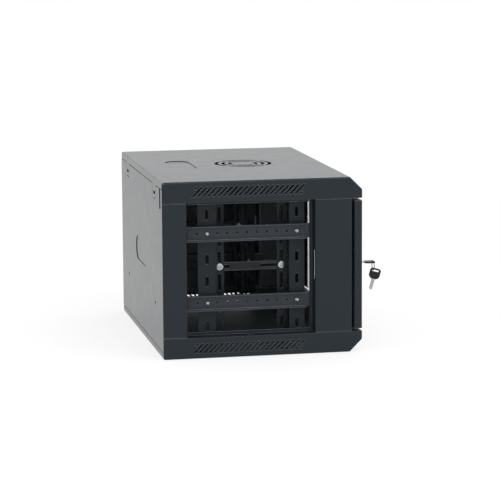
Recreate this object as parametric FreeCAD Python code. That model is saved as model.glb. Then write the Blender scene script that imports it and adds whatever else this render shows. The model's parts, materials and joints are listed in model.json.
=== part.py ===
import FreeCAD, Part
import math
import os

# Wall-mount rack cabinet. Millimetres, +Z up, front towards -Y.
# The origin is the middle of the underside.

# Carcass
width = 550.0
depth = 400.0
height = 350.0
sheet = 1.2
bend = 2.8
nose = 25.0
cover_lip = 42.0
rear_lip = 13.3
rear_seam = 1.6
front_rim = 16.0
rebate = 24.3
rebate_lip = 6.4
lip_gap = 0.6
fold_flat = 0.1
rear_strip = 48.5
rear_return = 27.0
front_strip = 75.5
front_flange = 13.0
hinge_lip = 2.9
rim_slot_length = 16.0
rim_slot_width = 7.0

# Vent slots in the cover lips
vent_count = 21
vent_pitch = 10.2
vent_width = 3.6
vent_height = 18.5
vent_inset = 20.3
vent_middle = 28.5
vent_end_height = 4.0

# Fan grille in the top
fan_y = -14.0
fan_hub = 24.0
fan_slot = 7.0
fan_step = 14.0
fan_rings = 3
fan_spoke = 8.0
fan_pitch = 105.0
fan_hole = 4.3

# Cable entries
entry_length = 148.0
entry_width = 50.0
entry_lap = 8.0
entry_inset = 83.5

# Wall fixing
wall_pitch = 360.0
ear_width = 44.0
ear_drop = 28.0
ear_round = 12.0
ear_gap = 1.5
ear_slot_length = 22.0
ear_slot_width = 6.5
ear_slot_drop = 17.2
wall_hole = 8.0
wall_hole_z = 98.5
notch_inset = 26.0
notch_width = 14.0
notch_height = 41.0

# Nineteen-inch rails and posts
channel = 1.5
unit = 44.45
units = 6
rack_side = 51.0
rack_hole_edge = 8.55
square = 9.5
hole_edge = 6.35
front_web = 31.8
rear_web = 37.0
post_return = 19.5
post_margin = 9.65
post_shift = -6.25
post_steps = 9
web_slot_length = 20.0
web_slot_width = 6.4
web_slot_room = 0.225
return_slot_length = 34.0
return_slot_drop = 10.5
return_slot_edge = 10.3
rail_height = 30.0
rail_flange = 13.5
rail_steps = 1
rail_offset = 4.15
rail_hole_pitch = 20.0
rail_spare_count = 1
rail_tail = 14.0
brace_height = 17.0
brace_front_slot = 46.5
brace_rear_slot = 25.5
brace_slot_end = 5.0
brace_slot_room = 0.8
brace_left_lift = 0.1
brace_right_lift = 14.0

# Fasteners
rail_screw = 4.0
rail_head = 8.0
rail_head_height = 3.1
rail_nut_flats = 10.0
rail_nut_height = 4.0
brace_bolt = 6.0
brace_head = 14.5
brace_head_height = 4.0
brace_nut_flats = 10.0
brace_nut_height = 3.0
frame_screw = 5.0
frame_head = 9.0
frame_head_height = 3.0
frame_screw_length = 9.0
frame_tab = 19.0
frame_tab_length = 34.0
frame_screw_inset = 13.0
end_screw_length = 8.0
screw_gap = 0.1
hole_clear = 0.2
slot_clear = 0.4
thread_end = 1.0
head_bevel = 1.0

# Door
door_thick = 16.8
door_clear = 3.7
door_gap = 5.0
door_side = 0.5
stile_width = 71.2
stile_box = 33.7
stile_cap = 2.0
glass_thick = 4.0
glass_room = 1.8
glass_end = 1.0
glass_corner = 1.0
tape_thick = 1.0
tape_inset = 1.5
hinge_side = 6.5
hinge_inset = 8.0
pin_diameter = 5.0
pin_inside = 8.0
pin_outside = 3.0
pin_gap = 0.05
washer_diameter = 12.0
washer_gap = 0.2

# Cam locks of the door and the side panel
lock_inset = 23.0
lock_lift = 1.0
lock_diameter = 18.0
lock_rim = 22.0
lock_rim_thick = 2.0
core_diameter = 12.0
core_proud = 0.6
core_gap = 0.05
tail_square = 7.0
lock_nut_flats = 22.0
lock_nut_thick = 3.0
cam_thick = 2.0
cam_width = 12.0
cam_length = 18.0
cam_gap = 0.9
cam_clear = 1.8
cam_head = 9.0
cam_head_thick = 2.4

# Keys
key_length = 43.5
bow_length = 21.5
bow_width = 22.0
bow_thick = 3.0
bow_end = 13.0
bow_neck = 8.0
bow_shoulder = 6.5
bow_waist = 12.5
bow_slot_length = 14.0
bow_slot_width = 3.3
bow_slot_inset = 5.0
bow_socket = 7.0
blade_width = 7.0
blade_thick = 2.2
blade_gap = 0.1
blade_tip = 2.8
tip_room = 1.4
cut_count = 4
cut_deep = 1.3
cut_shallow = 0.8
key_out = 8.5
ring_radius = 9.0
ring_wire = 1.5
ring_room = 0.75
spare_lift = 0.5
blade_density = 7.85
bow_density = 1.2

# Right side panel
panel_gap = 1.0
panel_flange = 12.0
panel_bend = 1.3
hook_length = 9.5
hook_height = 20.0
hook_inset = 43.0
hook_gap = 0.3
hook_room = 3.0
latch_lift = 3.0
latch_slot_height = 58.0
latch_room = 2.85
panel_lock_inset = 15.0
panel_cam_length = 26.0
panel_lock_length = 6.6

# Derived places and fits
half_w = width / 2
half_d = depth / 2
mid_z = height / 2
lip_top = height - cover_lip
fold_round = sheet - fold_flat
opening_rear = half_d - rear_strip
strip_front = -half_d + door_thick + door_clear
opening_front = strip_front + front_strip
opening_y = (opening_front + opening_rear) / 2
front_strip_y = (strip_front + opening_front) / 2
rear_strip_y = (opening_rear + half_d) / 2
entry_y = half_d - entry_inset
notch_x = -half_w + notch_inset
rear_join_x = half_w - notch_inset - notch_width / 2
rebate_x = half_w - rebate
rail_x = rebate_x - sheet
rail_end_x = rail_x + (rail_flange - channel) / 2
rail_front = opening_front + rail_tail
rail_hole = rail_screw + hole_clear
rail_spread = (units - 1 - 2 * rail_steps) * unit + rail_offset
rail_heights = (mid_z - rail_spread / 2, mid_z + rail_spread / 2)
web_slot_drop = (web_slot_length - web_slot_width - rail_offset) / 2 - web_slot_room
bolt_slot_width = brace_bolt + slot_clear
post_x = rail_x - channel
post_inner = half_w - rack_side
post_height = units * unit + 2 * post_margin
post_span = post_steps * rail_hole_pitch
post_middle_y = opening_y + post_shift
front_post_y = post_middle_y - post_span / 2
rear_post_y = post_middle_y + post_span / 2
front_bolt_y = front_post_y + front_web / 2 + return_slot_edge
rear_bolt_y = rear_post_y - rear_web / 2 - return_slot_edge
brace_end = brace_slot_end + bolt_slot_width / 2 + brace_slot_room
door_low = cover_lip + door_gap
door_high = lip_top - door_gap
door_back = -half_d + door_thick
glass_lap = stile_width - stile_box - glass_room
glass_edge = half_w - door_side - stile_width + glass_lap
glass_front = -half_d + sheet + tape_thick
hinge_x = half_w - hinge_side
hinge_y = -half_d + hinge_inset
lock_x = -half_w + lock_inset
lock_z = mid_z + lock_lift
lock_length = door_thick + door_clear + sheet + cam_clear - cam_gap
key_depth = key_length - bow_length - key_out + lock_rim_thick + core_proud + tip_room
ring_drop = ring_radius - ring_wire / 2 - bow_thick / 2 - ring_room
hook_heights = (cover_lip + hook_inset, lip_top - hook_inset)
latch_z = mid_z + latch_lift
latch_x = -half_w + panel_lock_length + cam_gap + cam_thick / 2
latch_slot_width = cam_thick + 2 * latch_room
slack = 2.0
through = 4 * max(sheet, channel)
TOUCH = 1e-4


def vec(x, y, z):
    return FreeCAD.Vector(x, y, z)


AXIS_X = vec(1, 0, 0)
AXIS_Y = vec(0, 1, 0)
AXIS_Z = vec(0, 0, 1)


def block(x0, x1, y0, y1, z0, z1):
    """Box between two corners."""
    return Part.makeBox(x1 - x0, y1 - y0, z1 - z0, vec(x0, y0, z0))


def mirrored(shape):
    """The same piece for the other side of the cabinet."""
    return shape.mirror(vec(0, 0, 0), AXIS_X)


def drill(center, direction, diameter, length):
    """Round cutter or pin, centred on a point."""
    start = center - direction * (length / 2)
    return Part.makeCylinder(diameter / 2, length, start, direction)


def oblong(center, along, normal, length, size, thick):
    """Plate with round ends, centred on a point."""
    across = normal.cross(along)
    base = center - normal * (thick / 2)
    radius = size / 2
    reach = length / 2 - radius
    left = base - along * reach
    right = base + along * reach
    edges = [
        Part.LineSegment(left + across * radius, right + across * radius).toShape(),
        Part.Arc(right + across * radius, right + along * radius, right - across * radius).toShape(),
        Part.LineSegment(right - across * radius, left - across * radius).toShape(),
        Part.Arc(left - across * radius, left - along * radius, left + across * radius).toShape(),
    ]
    return Part.Face(Part.Wire(edges)).extrude(normal * thick)


def outline(points):
    """Closed polygon as a face."""
    return Part.Face(Part.makePolygon(points + points[:1]))


def shifted_line(points, runs, normal, distance):
    """Corners of the line that runs beside another, to its right."""
    sides = [run.cross(normal) for run in runs]
    line = [points[0] + sides[0] * distance]
    for corner, before, after in zip(points[1:-1], sides, sides[1:]):
        middle = before + after
        line.append(corner + middle * (distance / middle.dot(before)))
    return line + [points[-1] + sides[-1] * distance]


def rounded_line(corners, radii):
    """Edges of a line with an arc at each of its bends."""
    edges = []
    start = corners[0]
    for before, corner, after, radius in zip(corners, corners[1:], corners[2:], radii):
        back = (before - corner).normalize()
        ahead = (after - corner).normalize()
        half_turn = (math.pi - back.getAngle(ahead)) / 2
        trim = radius * math.tan(half_turn)
        middle = corner + (back + ahead).normalize() * (radius / math.cos(half_turn) - radius)
        edges.append(Part.LineSegment(start, corner + back * trim).toShape())
        start = corner + ahead * trim
        edges.append(Part.Arc(corner + back * trim, middle, start).toShape())
    edges.append(Part.LineSegment(start, corners[-1]).toShape())
    return edges


def folded(points, thick, radius, normal, sweep):
    """Bent sheet: a skin line with the thickness to its right, swept straight."""
    runs = [(b - a).normalize() for a, b in zip(points, points[1:])]
    back = shifted_line(points, runs, normal, thick)
    turns = [before.cross(after).dot(normal) for before, after in zip(runs, runs[1:])]
    skin_radii = [radius + thick if turn < 0 else radius for turn in turns]
    back_radii = [radius if turn < 0 else radius + thick for turn in turns]
    edges = rounded_line(points, skin_radii) + rounded_line(back, back_radii)
    edges.append(Part.LineSegment(points[0], back[0]).toShape())
    edges.append(Part.LineSegment(points[-1], back[-1]).toShape())
    return Part.Face(Part.Wire(Part.__sortEdges__(edges))).extrude(sweep)


def upright_sheet(line, z0, z1, thick=sheet, radius=bend):
    """Bent sheet standing between two heights, from its line seen from above."""
    points = [vec(x, y, z0) for x, y in line]
    return folded(points, thick, radius, AXIS_Z, AXIS_Z * (z1 - z0))


def turned(seat, axis, profile):
    """Round piece from a profile of radius and distance along its axis."""
    radial = AXIS_X if abs(axis.z) > 0.5 else AXIS_Z
    points = [seat + radial * radius + axis * along for radius, along in profile]
    return outline(points).revolve(seat, axis, 360)


def hexagon(center, direction, across, flats, thick, hole):
    """Nut with a plain hole, starting at a point."""
    corner = flats / math.sqrt(3)
    second = direction.cross(across)
    points = []
    for i in range(6):
        angle = math.radians(60 * i)
        points.append(center + across * (corner * math.cos(angle)) + second * (corner * math.sin(angle)))
    nut = outline(points).extrude(direction * thick)
    return nut.cut(drill(center + direction * (thick / 2), direction, hole, thick + slack))


def head_profile(radius, tall):
    """Half outline of a bevelled head outside its seat, from its top to its seat."""
    return [(radius - head_bevel, -tall), (radius, head_bevel - tall), (radius, 0)]


def pan_screw(seat, inward, head, head_height, shank, length):
    """Screw with a bevelled head outside the seat and its shank inside."""
    radius = shank / 2
    shaft = [(radius, 0), (radius, length), (0, length)]
    return turned(seat, inward, [(0, -head_height)] + head_profile(head / 2, head_height) + shaft)


def group(solids):
    """Like pieces that share one node."""
    return Part.makeCompound(solids)


def cover_block(inset, low, radius):
    """Solid body of a cover with its sloping nose, shrunk by an inset."""
    miter = inset * (math.sqrt(2) - 1)
    rear = half_d - inset
    front = -half_d + inset
    top = height - inset
    profile = [(rear, low), (rear, top), (-half_d + nose + miter, top),
               (front, height - nose - miter), (front, low)]
    side = half_w - inset
    solid = outline([vec(-side, y, z) for y, z in profile]).extrude(AXIS_X * (2 * side))
    edges = [e for e in solid.Edges if max(v.Z for v in e.Vertexes) > low + slack]
    return solid.makeFillet(radius, edges)


def cover_rim():
    """Folded-in edge of a cover: side rebates with their lips, and the front edge."""
    inner = half_w - sheet
    rear = half_d - sheet - screw_gap
    rim = block(-inner, inner, -half_d + sheet, rear, lip_top, lip_top + sheet)
    rim = rim.cut(block(-rebate_x, rebate_x, -half_d + front_rim, rear + slack, lip_top - slack,
                        lip_top + sheet + slack))
    y0 = opening_front + rebate_lip + lip_gap
    y1 = opening_rear - lip_gap
    for side in (-1, 1):
        x0, x1 = sorted((side * rebate_x, side * rail_x))
        rim = rim.fuse(block(x0, x1, y0, y1, lip_top - rebate_lip, lip_top + sheet))
    return rim


def vent_slot(side, middle, low, z0, z1):
    """Stretch between two heights of a slanted slot through one side lip."""
    x = side * half_w - slack
    half = vent_width / math.sqrt(2)
    y0 = middle + side * (z0 - low - vent_height / 2)
    y1 = middle + side * (z1 - low - vent_height / 2)
    corners = [vec(x, y0 - half, z0), vec(x, y0 + half, z0), vec(x, y1 + half, z1), vec(x, y1 - half, z1)]
    return outline(corners).extrude(AXIS_X * (2 * slack))


def vent_row(side, low):
    """Slanted slots through one side lip, with a cut-off slot at each end."""
    high = low + vent_height
    rear = vent_middle + (vent_count - 1) * vent_pitch / 2
    cutters = [vent_slot(side, rear - i * vent_pitch, low, low, high) for i in range(vent_count)]
    ends = (rear + vent_pitch, rear - vent_count * vent_pitch)
    high_end, low_end = ends if side < 0 else ends[::-1]
    cutters.append(vent_slot(side, high_end, low, high - vent_end_height, high))
    cutters.append(vent_slot(side, low_end, low, low, low + vent_end_height))
    return cutters


def side_vents(middle):
    """Vent slots of both side lips of a cover, at their middle height."""
    low = middle - vent_height / 2
    return vent_row(-1, low) + vent_row(1, low)


def frame_holes():
    """Places of the screws that hold the uprights to the covers."""
    x = half_w - frame_screw_inset
    return [(side * x, y) for side in (-1, 1) for y in (front_strip_y, rear_strip_y)]


def on_outer_rim(box):
    """Whether an edge with this box runs along the fold at the cover's open side."""
    level = max(abs(box.ZMin - lip_top), abs(box.ZMax - lip_top)) < TOUCH
    sides = max(-box.XMin, box.XMax) > half_w - TOUCH
    ends = max(-box.YMin, box.YMax) > half_d - TOUCH
    return level and (sides or ends)


def cover_shell():
    """Top cover without its cut-outs."""
    shell = cover_block(0, lip_top, bend + sheet).cut(cover_block(sheet, lip_top - slack, bend))
    shell = shell.fuse(cover_rim())
    outer = [e for e in shell.Edges if on_outer_rim(e.BoundBox)]
    shell = shell.makeFillet(fold_round, outer)
    cutters = [drill(vec(x, y, lip_top), AXIS_Z, frame_screw + screw_gap, cover_lip / 2)
               for x, y in frame_holes()]
    cutters.append(drill(vec(hinge_x, hinge_y, lip_top), AXIS_Z, pin_diameter + 2 * pin_gap, cover_lip / 2))
    for side in (-1, 1):
        middle = vec(side * (half_w - rebate / 2), opening_y, lip_top)
        cutters.append(oblong(middle, AXIS_Y, AXIS_Z, rim_slot_length, rim_slot_width, through))
    return shell.cut(cutters)


def cable_entry(center, normal):
    """Oblong cutter of a cable entry."""
    return oblong(center, AXIS_X, normal, entry_length, entry_width, through)


def cable_cover(center, normal):
    """Plate that closes a cable entry from the inside."""
    middle = center - normal * (sheet + sheet / 2)
    return oblong(middle, AXIS_X, normal, entry_length + 2 * entry_lap, entry_width + 2 * entry_lap, sheet)


def fan_grille():
    """Cutters of the fan grille: rings of arc slots between four spokes, and the fan's screw holes."""
    center = vec(0, fan_y, height - through / 2)
    reach = fan_hub + fan_rings * fan_step
    spokes = []
    for angle in (45, 135):
        bar = block(-reach, reach, -fan_spoke / 2, fan_spoke / 2, -slack, through + slack)
        bar.rotate(vec(0, 0, 0), AXIS_Z, angle)
        bar.translate(center)
        spokes.append(bar)
    cutters = []
    for i in range(fan_rings):
        inner = fan_hub + i * fan_step
        ring = Part.makeCylinder(inner + fan_slot, through, center)
        cutters.append(ring.cut([Part.makeCylinder(inner, through, center)] + spokes))
    half = fan_pitch / 2
    for x in (-half, half):
        for y in (fan_y - half, fan_y + half):
            cutters.append(drill(vec(x, y, height), AXIS_Z, fan_hole, through))
    return cutters


def ear_plate(side, margin, thick):
    """Hanging ear on the rear lip, or the notch that clears it."""
    x = side * wall_pitch / 2
    top = height - rear_lip
    half = ear_width / 2 + margin
    low = top - ear_drop - margin
    plate = block(x - half, x + half, half_d - thick, half_d, low, top + margin)
    corners = [e for e in plate.Edges if e.BoundBox.YLength > thick / 2 and e.BoundBox.ZMax < low + TOUCH]
    return plate.makeFillet(ear_round + margin, corners)


def clear_rear(shell, low, high):
    """Cover without its rear wall between two heights, where the rear panel stands."""
    reach = half_w + slack
    return shell.cut(block(-reach, reach, half_d - sheet - screw_gap, half_d + slack, low, high))


def top_cover():
    seam = height - rear_lip
    shell = clear_rear(cover_shell(), lip_top - slack, seam)
    shell = shell.fuse([ear_plate(side, 0, sheet) for side in (-1, 1)])
    cutters = side_vents(height - vent_inset) + fan_grille()
    cutters.append(cable_entry(vec(0, entry_y, height), AXIS_Z))
    for side in (-1, 1):
        middle = vec(side * wall_pitch / 2, half_d, seam - ear_slot_drop)
        cutters.append(oblong(middle, AXIS_X, AXIS_Y, ear_slot_length, ear_slot_width, through))
    return shell.cut(cutters).removeSplitter()


def bottom_cover():
    shell = cover_shell().mirror(vec(0, 0, mid_z), AXIS_Z)
    shell = clear_rear(shell, rear_lip, cover_lip + slack)
    cutters = side_vents(vent_inset)
    cutters.append(cable_entry(vec(0, entry_y, 0), AXIS_Z))
    return shell.cut(cutters).removeSplitter()


def end_tab(side, y_mid, z_end, up):
    """Folded end tab that lies against a cover's rim, with its screw hole."""
    x0, x1 = sorted((side * (half_w - sheet), side * (half_w - sheet - frame_tab)))
    z0, z1 = sorted((z_end, z_end - up * sheet))
    tab = block(x0, x1, y_mid - frame_tab_length / 2, y_mid + frame_tab_length / 2, z0, z1)
    hole = vec(side * (half_w - frame_screw_inset), y_mid, z_end)
    return tab.cut(drill(hole, AXIS_Z, frame_screw + screw_gap, through))


def with_tabs(piece, side, y_mid):
    """Adds the end tabs at the top and bottom of a side strip."""
    return piece.fuse([end_tab(side, y_mid, lip_top, 1), end_tab(side, y_mid, cover_lip, -1)])


def hook_slots(side):
    """Cutters for the side panel's hooks in one return of the back."""
    x0, x1 = sorted((side * (half_w - sheet), side * (half_w - panel_flange - hook_room)))
    reach = hook_height / 2 + hook_room
    return [block(x0, x1, opening_rear - slack, opening_rear + bend + sheet, z - reach, z + reach)
            for z in hook_heights]


def rear_shell():
    """Whole back: plate, side strips and returns, before it is parted."""
    line = [(-half_w + rear_return, opening_rear), (-half_w, opening_rear), (-half_w, half_d),
            (half_w, half_d), (half_w, opening_rear), (half_w - rear_return, opening_rear)]
    panel = upright_sheet(line, cover_lip, lip_top)
    plate_x = half_w - sheet
    top = height - rear_lip
    plate_low = rear_lip + rear_seam
    panel = panel.fuse(block(-plate_x, plate_x, half_d - sheet, half_d, plate_low, top - rear_seam))
    cutters = [cable_entry(vec(0, half_d, mid_z), AXIS_Y)]
    for side in (-1, 1):
        panel = with_tabs(panel, side, rear_strip_y)
        cutters.append(ear_plate(side, ear_gap, through))
        cutters.append(drill(vec(side * wall_pitch / 2, half_d, wall_hole_z), AXIS_Y, wall_hole, through))
        cutters += hook_slots(side)
        for z in rail_heights:
            end = vec(side * rail_end_x, opening_rear, z)
            cutters.append(drill(end, AXIS_Y, frame_screw + screw_gap, through))
    half = notch_width / 2
    cutters.append(block(notch_x - half, notch_x + half, half_d - 2 * sheet, half_d + slack,
                         top - notch_height, top + slack))
    return panel.cut(cutters)


def rear_part(x0, x1):
    """Stretch of the back between two places across the width."""
    keep = block(x0, x1, opening_rear - slack, half_d + slack, 0, height)
    return rear_shell().common(keep).removeSplitter()


def front_upright():
    """Left front side strip with front flange, rebate and latch slot."""
    line = [(-half_w + front_flange, strip_front), (-half_w, strip_front), (-half_w, opening_front),
            (-rebate_x, opening_front), (-rebate_x, opening_front + rebate_lip)]
    strip = with_tabs(upright_sheet(line, cover_lip, lip_top), -1, front_strip_y)
    half = latch_slot_height / 2
    side = latch_slot_width / 2
    slot = block(latch_x - side, latch_x + side, opening_front - bend - sheet, opening_front + slack,
                 latch_z - half, latch_z + half)
    return strip.cut(slot).removeSplitter()


def hinge_upright():
    """Right front side strip, with two lips that close the gap behind the door's hinge side."""
    strip = mirrored(front_upright())
    front = strip_front - hinge_lip
    rear = strip_front + bend + sheet
    for x in (half_w - front_flange, half_w - sheet):
        strip = strip.fuse(block(x, x + sheet, front, rear, cover_lip, lip_top))
    return strip.removeSplitter()


def depth_rail(z_mid):
    """Left C-channel between the rear and front uprights."""
    top = z_mid + rail_height / 2
    low = z_mid - rail_height / 2
    outer = -post_x - rail_flange
    front = opening_front + screw_gap
    points = [vec(x, front, z) for x, z in ((outer, top), (-post_x, top), (-post_x, low), (outer, low))]
    rail = folded(points, channel, channel, AXIS_Y * -1, AXIS_Y * (opening_rear - front))
    rail = rail.cut(block(outer - slack, -rail_x, front - slack, rail_front, low - slack, top + slack))
    half = channel / 2
    end_y = opening_rear - channel
    rail = rail.fuse(block(outer, -post_x - half, end_y, opening_rear, low + half, top - half))
    cutters = [drill(vec(-rail_end_x, opening_rear, z_mid), AXIS_Y, frame_screw + screw_gap, through)]
    for i in range(post_steps + 1 + rail_spare_count):
        hole = vec(-rail_x, front_post_y + i * rail_hole_pitch, z_mid)
        cutters.append(drill(hole, AXIS_X, rail_hole, through))
    return rail.cut(cutters).removeSplitter()


def unit_heights(drop):
    """Middle height of each rack unit, lowered by a drop."""
    base = mid_z - units * unit / 2
    return [base + (i + 0.5) * unit - drop for i in range(units)]


def square_holes(face_y):
    """Cutters of the equipment holes, three in each rack unit."""
    half = square / 2
    reach = through / 2
    x = -post_inner - rack_hole_edge
    steps = (hole_edge - unit / 2, 0, unit / 2 - hole_edge)
    return [block(x - half, x + half, face_y - reach, face_y + reach, z + step - half, z + step + half)
            for z in unit_heights(0) for step in steps]


def front_post(web):
    """Left front post: web on the rails, equipment face with square holes, slotted return."""
    half_web = web / 2
    face_y = front_post_y + half_web
    skin = -post_inner - channel
    line = [(-post_x, front_post_y - half_web), (-post_x, face_y), (skin, face_y),
            (skin, face_y + post_return)]
    post = upright_sheet(line, mid_z - post_height / 2, mid_z + post_height / 2, channel, channel)
    cutters = square_holes(face_y)
    for z in unit_heights(web_slot_drop):
        middle = vec(-post_x, front_post_y, z)
        cutters.append(oblong(middle, AXIS_Z, AXIS_X, web_slot_length, web_slot_width, through))
    for z in unit_heights(return_slot_drop):
        middle = vec(-post_inner, face_y + return_slot_edge, z)
        cutters.append(oblong(middle, AXIS_Z, AXIS_X, return_slot_length, bolt_slot_width, through))
    return post.cut(cutters).removeSplitter()


def rear_post():
    """Left rear post: a wider front post turned about the middle of the pair."""
    return front_post(rear_web).mirror(vec(0, post_middle_y, 0), AXIS_Y)


def brace_heights():
    """Middle heights of the left and right braces, bolted in the same slots of the posts."""
    low = unit_heights(return_slot_drop)[units // 2] - (return_slot_length - bolt_slot_width) / 2
    return low + brace_left_lift, low + brace_right_lift


def brace(z_mid):
    """Left flat bar between the returns of the two posts."""
    start = front_bolt_y - brace_end
    end = rear_bolt_y + brace_end
    x = -post_inner
    half = brace_height / 2
    bar = block(x, x + channel, start, end, z_mid - half, z_mid + half)
    front = vec(x, start + brace_slot_end + brace_front_slot / 2, z_mid)
    rear = vec(x, end - brace_slot_end - brace_rear_slot / 2, z_mid)
    return bar.cut([oblong(front, AXIS_Y, AXIS_X, brace_front_slot, bolt_slot_width, through),
                    oblong(rear, AXIS_Y, AXIS_X, brace_rear_slot, bolt_slot_width, through)])


def both_sides(solids):
    """Left pieces with their right twins."""
    return solids + [mirrored(s) for s in solids]


def rail_screw_set():
    """Screws through rails and posts, and their nuts."""
    screws, nuts = [], []
    for z in rail_heights:
        for y in (front_post_y, rear_post_y):
            seat = vec(-rail_x, y, z)
            length = 2 * channel + rail_nut_height + thread_end
            screws.append(pan_screw(seat, AXIS_X, rail_head, rail_head_height, rail_screw, length))
            nut_face = seat + AXIS_X * (2 * channel)
            nuts.append(hexagon(nut_face, AXIS_X, AXIS_Z, rail_nut_flats, rail_nut_height, rail_screw))
    return both_sides(screws), both_sides(nuts)


def brace_bolt_set(z):
    """Bolts through the left post returns and brace, and their nuts."""
    bolts, nuts = [], []
    for y in (front_bolt_y, rear_bolt_y):
        seat = vec(-post_inner - channel, y, z)
        length = 2 * channel + brace_nut_height + thread_end
        bolts.append(pan_screw(seat, AXIS_X, brace_head, brace_head_height, brace_bolt, length))
        nut_face = seat + AXIS_X * (2 * channel)
        nuts.append(hexagon(nut_face, AXIS_X, AXIS_Z, brace_nut_flats, brace_nut_height, brace_bolt))
    return bolts, nuts


def frame_screw_set():
    """Screws that hold the uprights to the covers."""
    screws = []
    for x, y in frame_holes():
        for z, inward in ((lip_top - sheet, AXIS_Z), (cover_lip + sheet, AXIS_Z * -1)):
            screws.append(pan_screw(vec(x, y, z), inward, frame_head, frame_head_height, frame_screw,
                                    frame_screw_length))
    return screws


def rail_end_screw_set():
    """Screws that hold the depth rails to the rear uprights."""
    screws = []
    for z in rail_heights:
        seat = vec(-rail_end_x, opening_rear - channel, z)
        screws.append(pan_screw(seat, AXIS_Y, frame_head, frame_head_height, frame_screw, end_screw_length))
    return both_sides(screws)


def door_stile():
    """Left stile: folded box with a front wing for the glass, closed by end caps."""
    outer = -half_w + door_side
    box_x = outer + stile_box
    line = [(outer + stile_width, -half_d), (outer, -half_d), (outer, door_back), (box_x, door_back),
            (box_x, glass_front)]
    stile = upright_sheet(line, door_low, door_high)
    inside = sheet / 2
    for z in (door_low, door_high - stile_cap):
        stile = stile.fuse(block(outer + inside, box_x - inside, -half_d + inside, door_back - inside, z,
                                 z + stile_cap))
    return stile.removeSplitter()


def left_stile():
    return door_stile().cut(drill(vec(lock_x, -half_d, lock_z), AXIS_Y, lock_diameter, 4 * door_thick))


def right_stile():
    return mirrored(door_stile()).cut(drill(vec(hinge_x, hinge_y, mid_z), AXIS_Z, pin_diameter, height))


def glass_pane():
    pane = block(-glass_edge, glass_edge, glass_front, glass_front + glass_thick, door_low + glass_end,
                 door_high - glass_end)
    corners = [e for e in pane.Edges if e.BoundBox.YLength > glass_thick / 2]
    return pane.makeChamfer(glass_corner, corners)


def glazing_tape():
    """Left strip that bonds the glass to the stile's wing."""
    return block(-glass_edge + tape_inset, -glass_edge + glass_lap - tape_inset, glass_front - tape_thick,
                 glass_front, door_low + 2 * glass_end, door_high - 2 * glass_end)


def hinge_set():
    """Hinge pins fixed in the right stile, and the washers that space the door."""
    pins, washers = [], []
    radius = pin_diameter / 2
    reach = washer_diameter / 2
    tall = door_gap - washer_gap
    for z, up in ((door_high, AXIS_Z), (door_low, AXIS_Z * -1)):
        face = vec(hinge_x, hinge_y, z)
        length = pin_inside + door_gap + sheet + pin_outside
        pins.append(Part.makeCylinder(radius, length, face - up * pin_inside, up))
        washers.append(turned(face, up, [(radius, 0), (reach, 0), (reach, tall), (radius, tall)]))
    return pins, washers


def lock_housing(face, inward, length):
    """Round lock body with a bevelled rim outside the sheet and a bore for the core."""
    bore = core_diameter / 2 + core_gap
    body = lock_diameter / 2
    profile = [(bore, -lock_rim_thick)] + head_profile(lock_rim / 2, lock_rim_thick)
    return turned(face, inward, profile + [(body, 0), (body, length), (bore, length)])


def bar_along(start, inward, across, wide, thick, length):
    """Rectangular bar on a lock's axis, its width lying along across."""
    second = inward.cross(across)
    corners = [start + across * (a * wide / 2) + second * (b * thick / 2)
               for a, b in ((1, 1), (-1, 1), (-1, -1), (1, -1))]
    return outline(corners).extrude(inward * length)


def lock_core(face, inward, across, length, keyway_depth):
    """Turning core with its square tail and keyway, which lies along across."""
    start = face - inward * (lock_rim_thick + core_proud)
    barrel_length = length + lock_rim_thick + core_proud + cam_gap / 2
    barrel = Part.makeCylinder(core_diameter / 2, barrel_length, start, inward)
    tail = bar_along(face + inward * length, inward, across, tail_square, tail_square, cam_gap + cam_thick)
    room = 2 * blade_gap
    keyway = bar_along(start, inward, across, blade_width + room, blade_thick + room, keyway_depth)
    return barrel.fuse(tail).cut(keyway).removeSplitter()


def lock_cam(face, inward, across, length, reach):
    """Flat cam on the core's tail, pointing along across."""
    seat = face + inward * (length + cam_gap)
    half = cam_width / 2
    center = seat + across * ((reach - half) / 2) + inward * (cam_thick / 2)
    plate = oblong(center, across, inward, reach + half, cam_width, cam_thick)
    hole = bar_along(seat - inward * slack, inward, across, tail_square, tail_square, cam_thick + 2 * slack)
    return plate.cut(hole)


def cam_screw(face, inward, length):
    """Head of the screw that holds the cam on the core's tail."""
    seat = face + inward * (length + cam_gap + cam_thick)
    profile = [(0, -cam_head_thick)] + head_profile(cam_head / 2, cam_head_thick) + [(0, 0)]
    return turned(seat, inward * -1, profile)


def key_bow():
    """Plastic key head lying along local X from its outer end, with its ring slot."""
    end = bow_end / 2
    half = bow_width / 2
    neck = bow_neck / 2
    corner = math.sqrt(0.5)

    def point(x, y):
        return vec(x, y, -bow_thick / 2)

    def flank(sign):
        top = point(bow_shoulder * (1 - corner), sign * (end + (half - end) * corner))
        low = point(bow_waist + (bow_length - bow_waist) * corner, sign * (neck + (half - neck) * corner))
        return [Part.Arc(point(0, sign * end), top, point(bow_shoulder, sign * half)).toShape(),
                Part.LineSegment(point(bow_shoulder, sign * half), point(bow_waist, sign * half)).toShape(),
                Part.Arc(point(bow_waist, sign * half), low, point(bow_length, sign * neck)).toShape()]

    edges = flank(1) + flank(-1)
    edges.append(Part.LineSegment(point(0, end), point(0, -end)).toShape())
    edges.append(Part.LineSegment(point(bow_length, neck), point(bow_length, -neck)).toShape())
    bow = Part.Face(Part.Wire(Part.__sortEdges__(edges))).extrude(AXIS_Z * bow_thick)
    slot = oblong(vec(bow_slot_inset, 0, 0), AXIS_Y, AXIS_Z, bow_slot_length, bow_slot_width, 2 * bow_thick)
    socket = block(bow_length - bow_socket, bow_length + slack, -blade_width / 2, blade_width / 2,
                   -blade_thick / 2, blade_thick / 2)
    return bow.cut([slot, socket])


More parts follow.
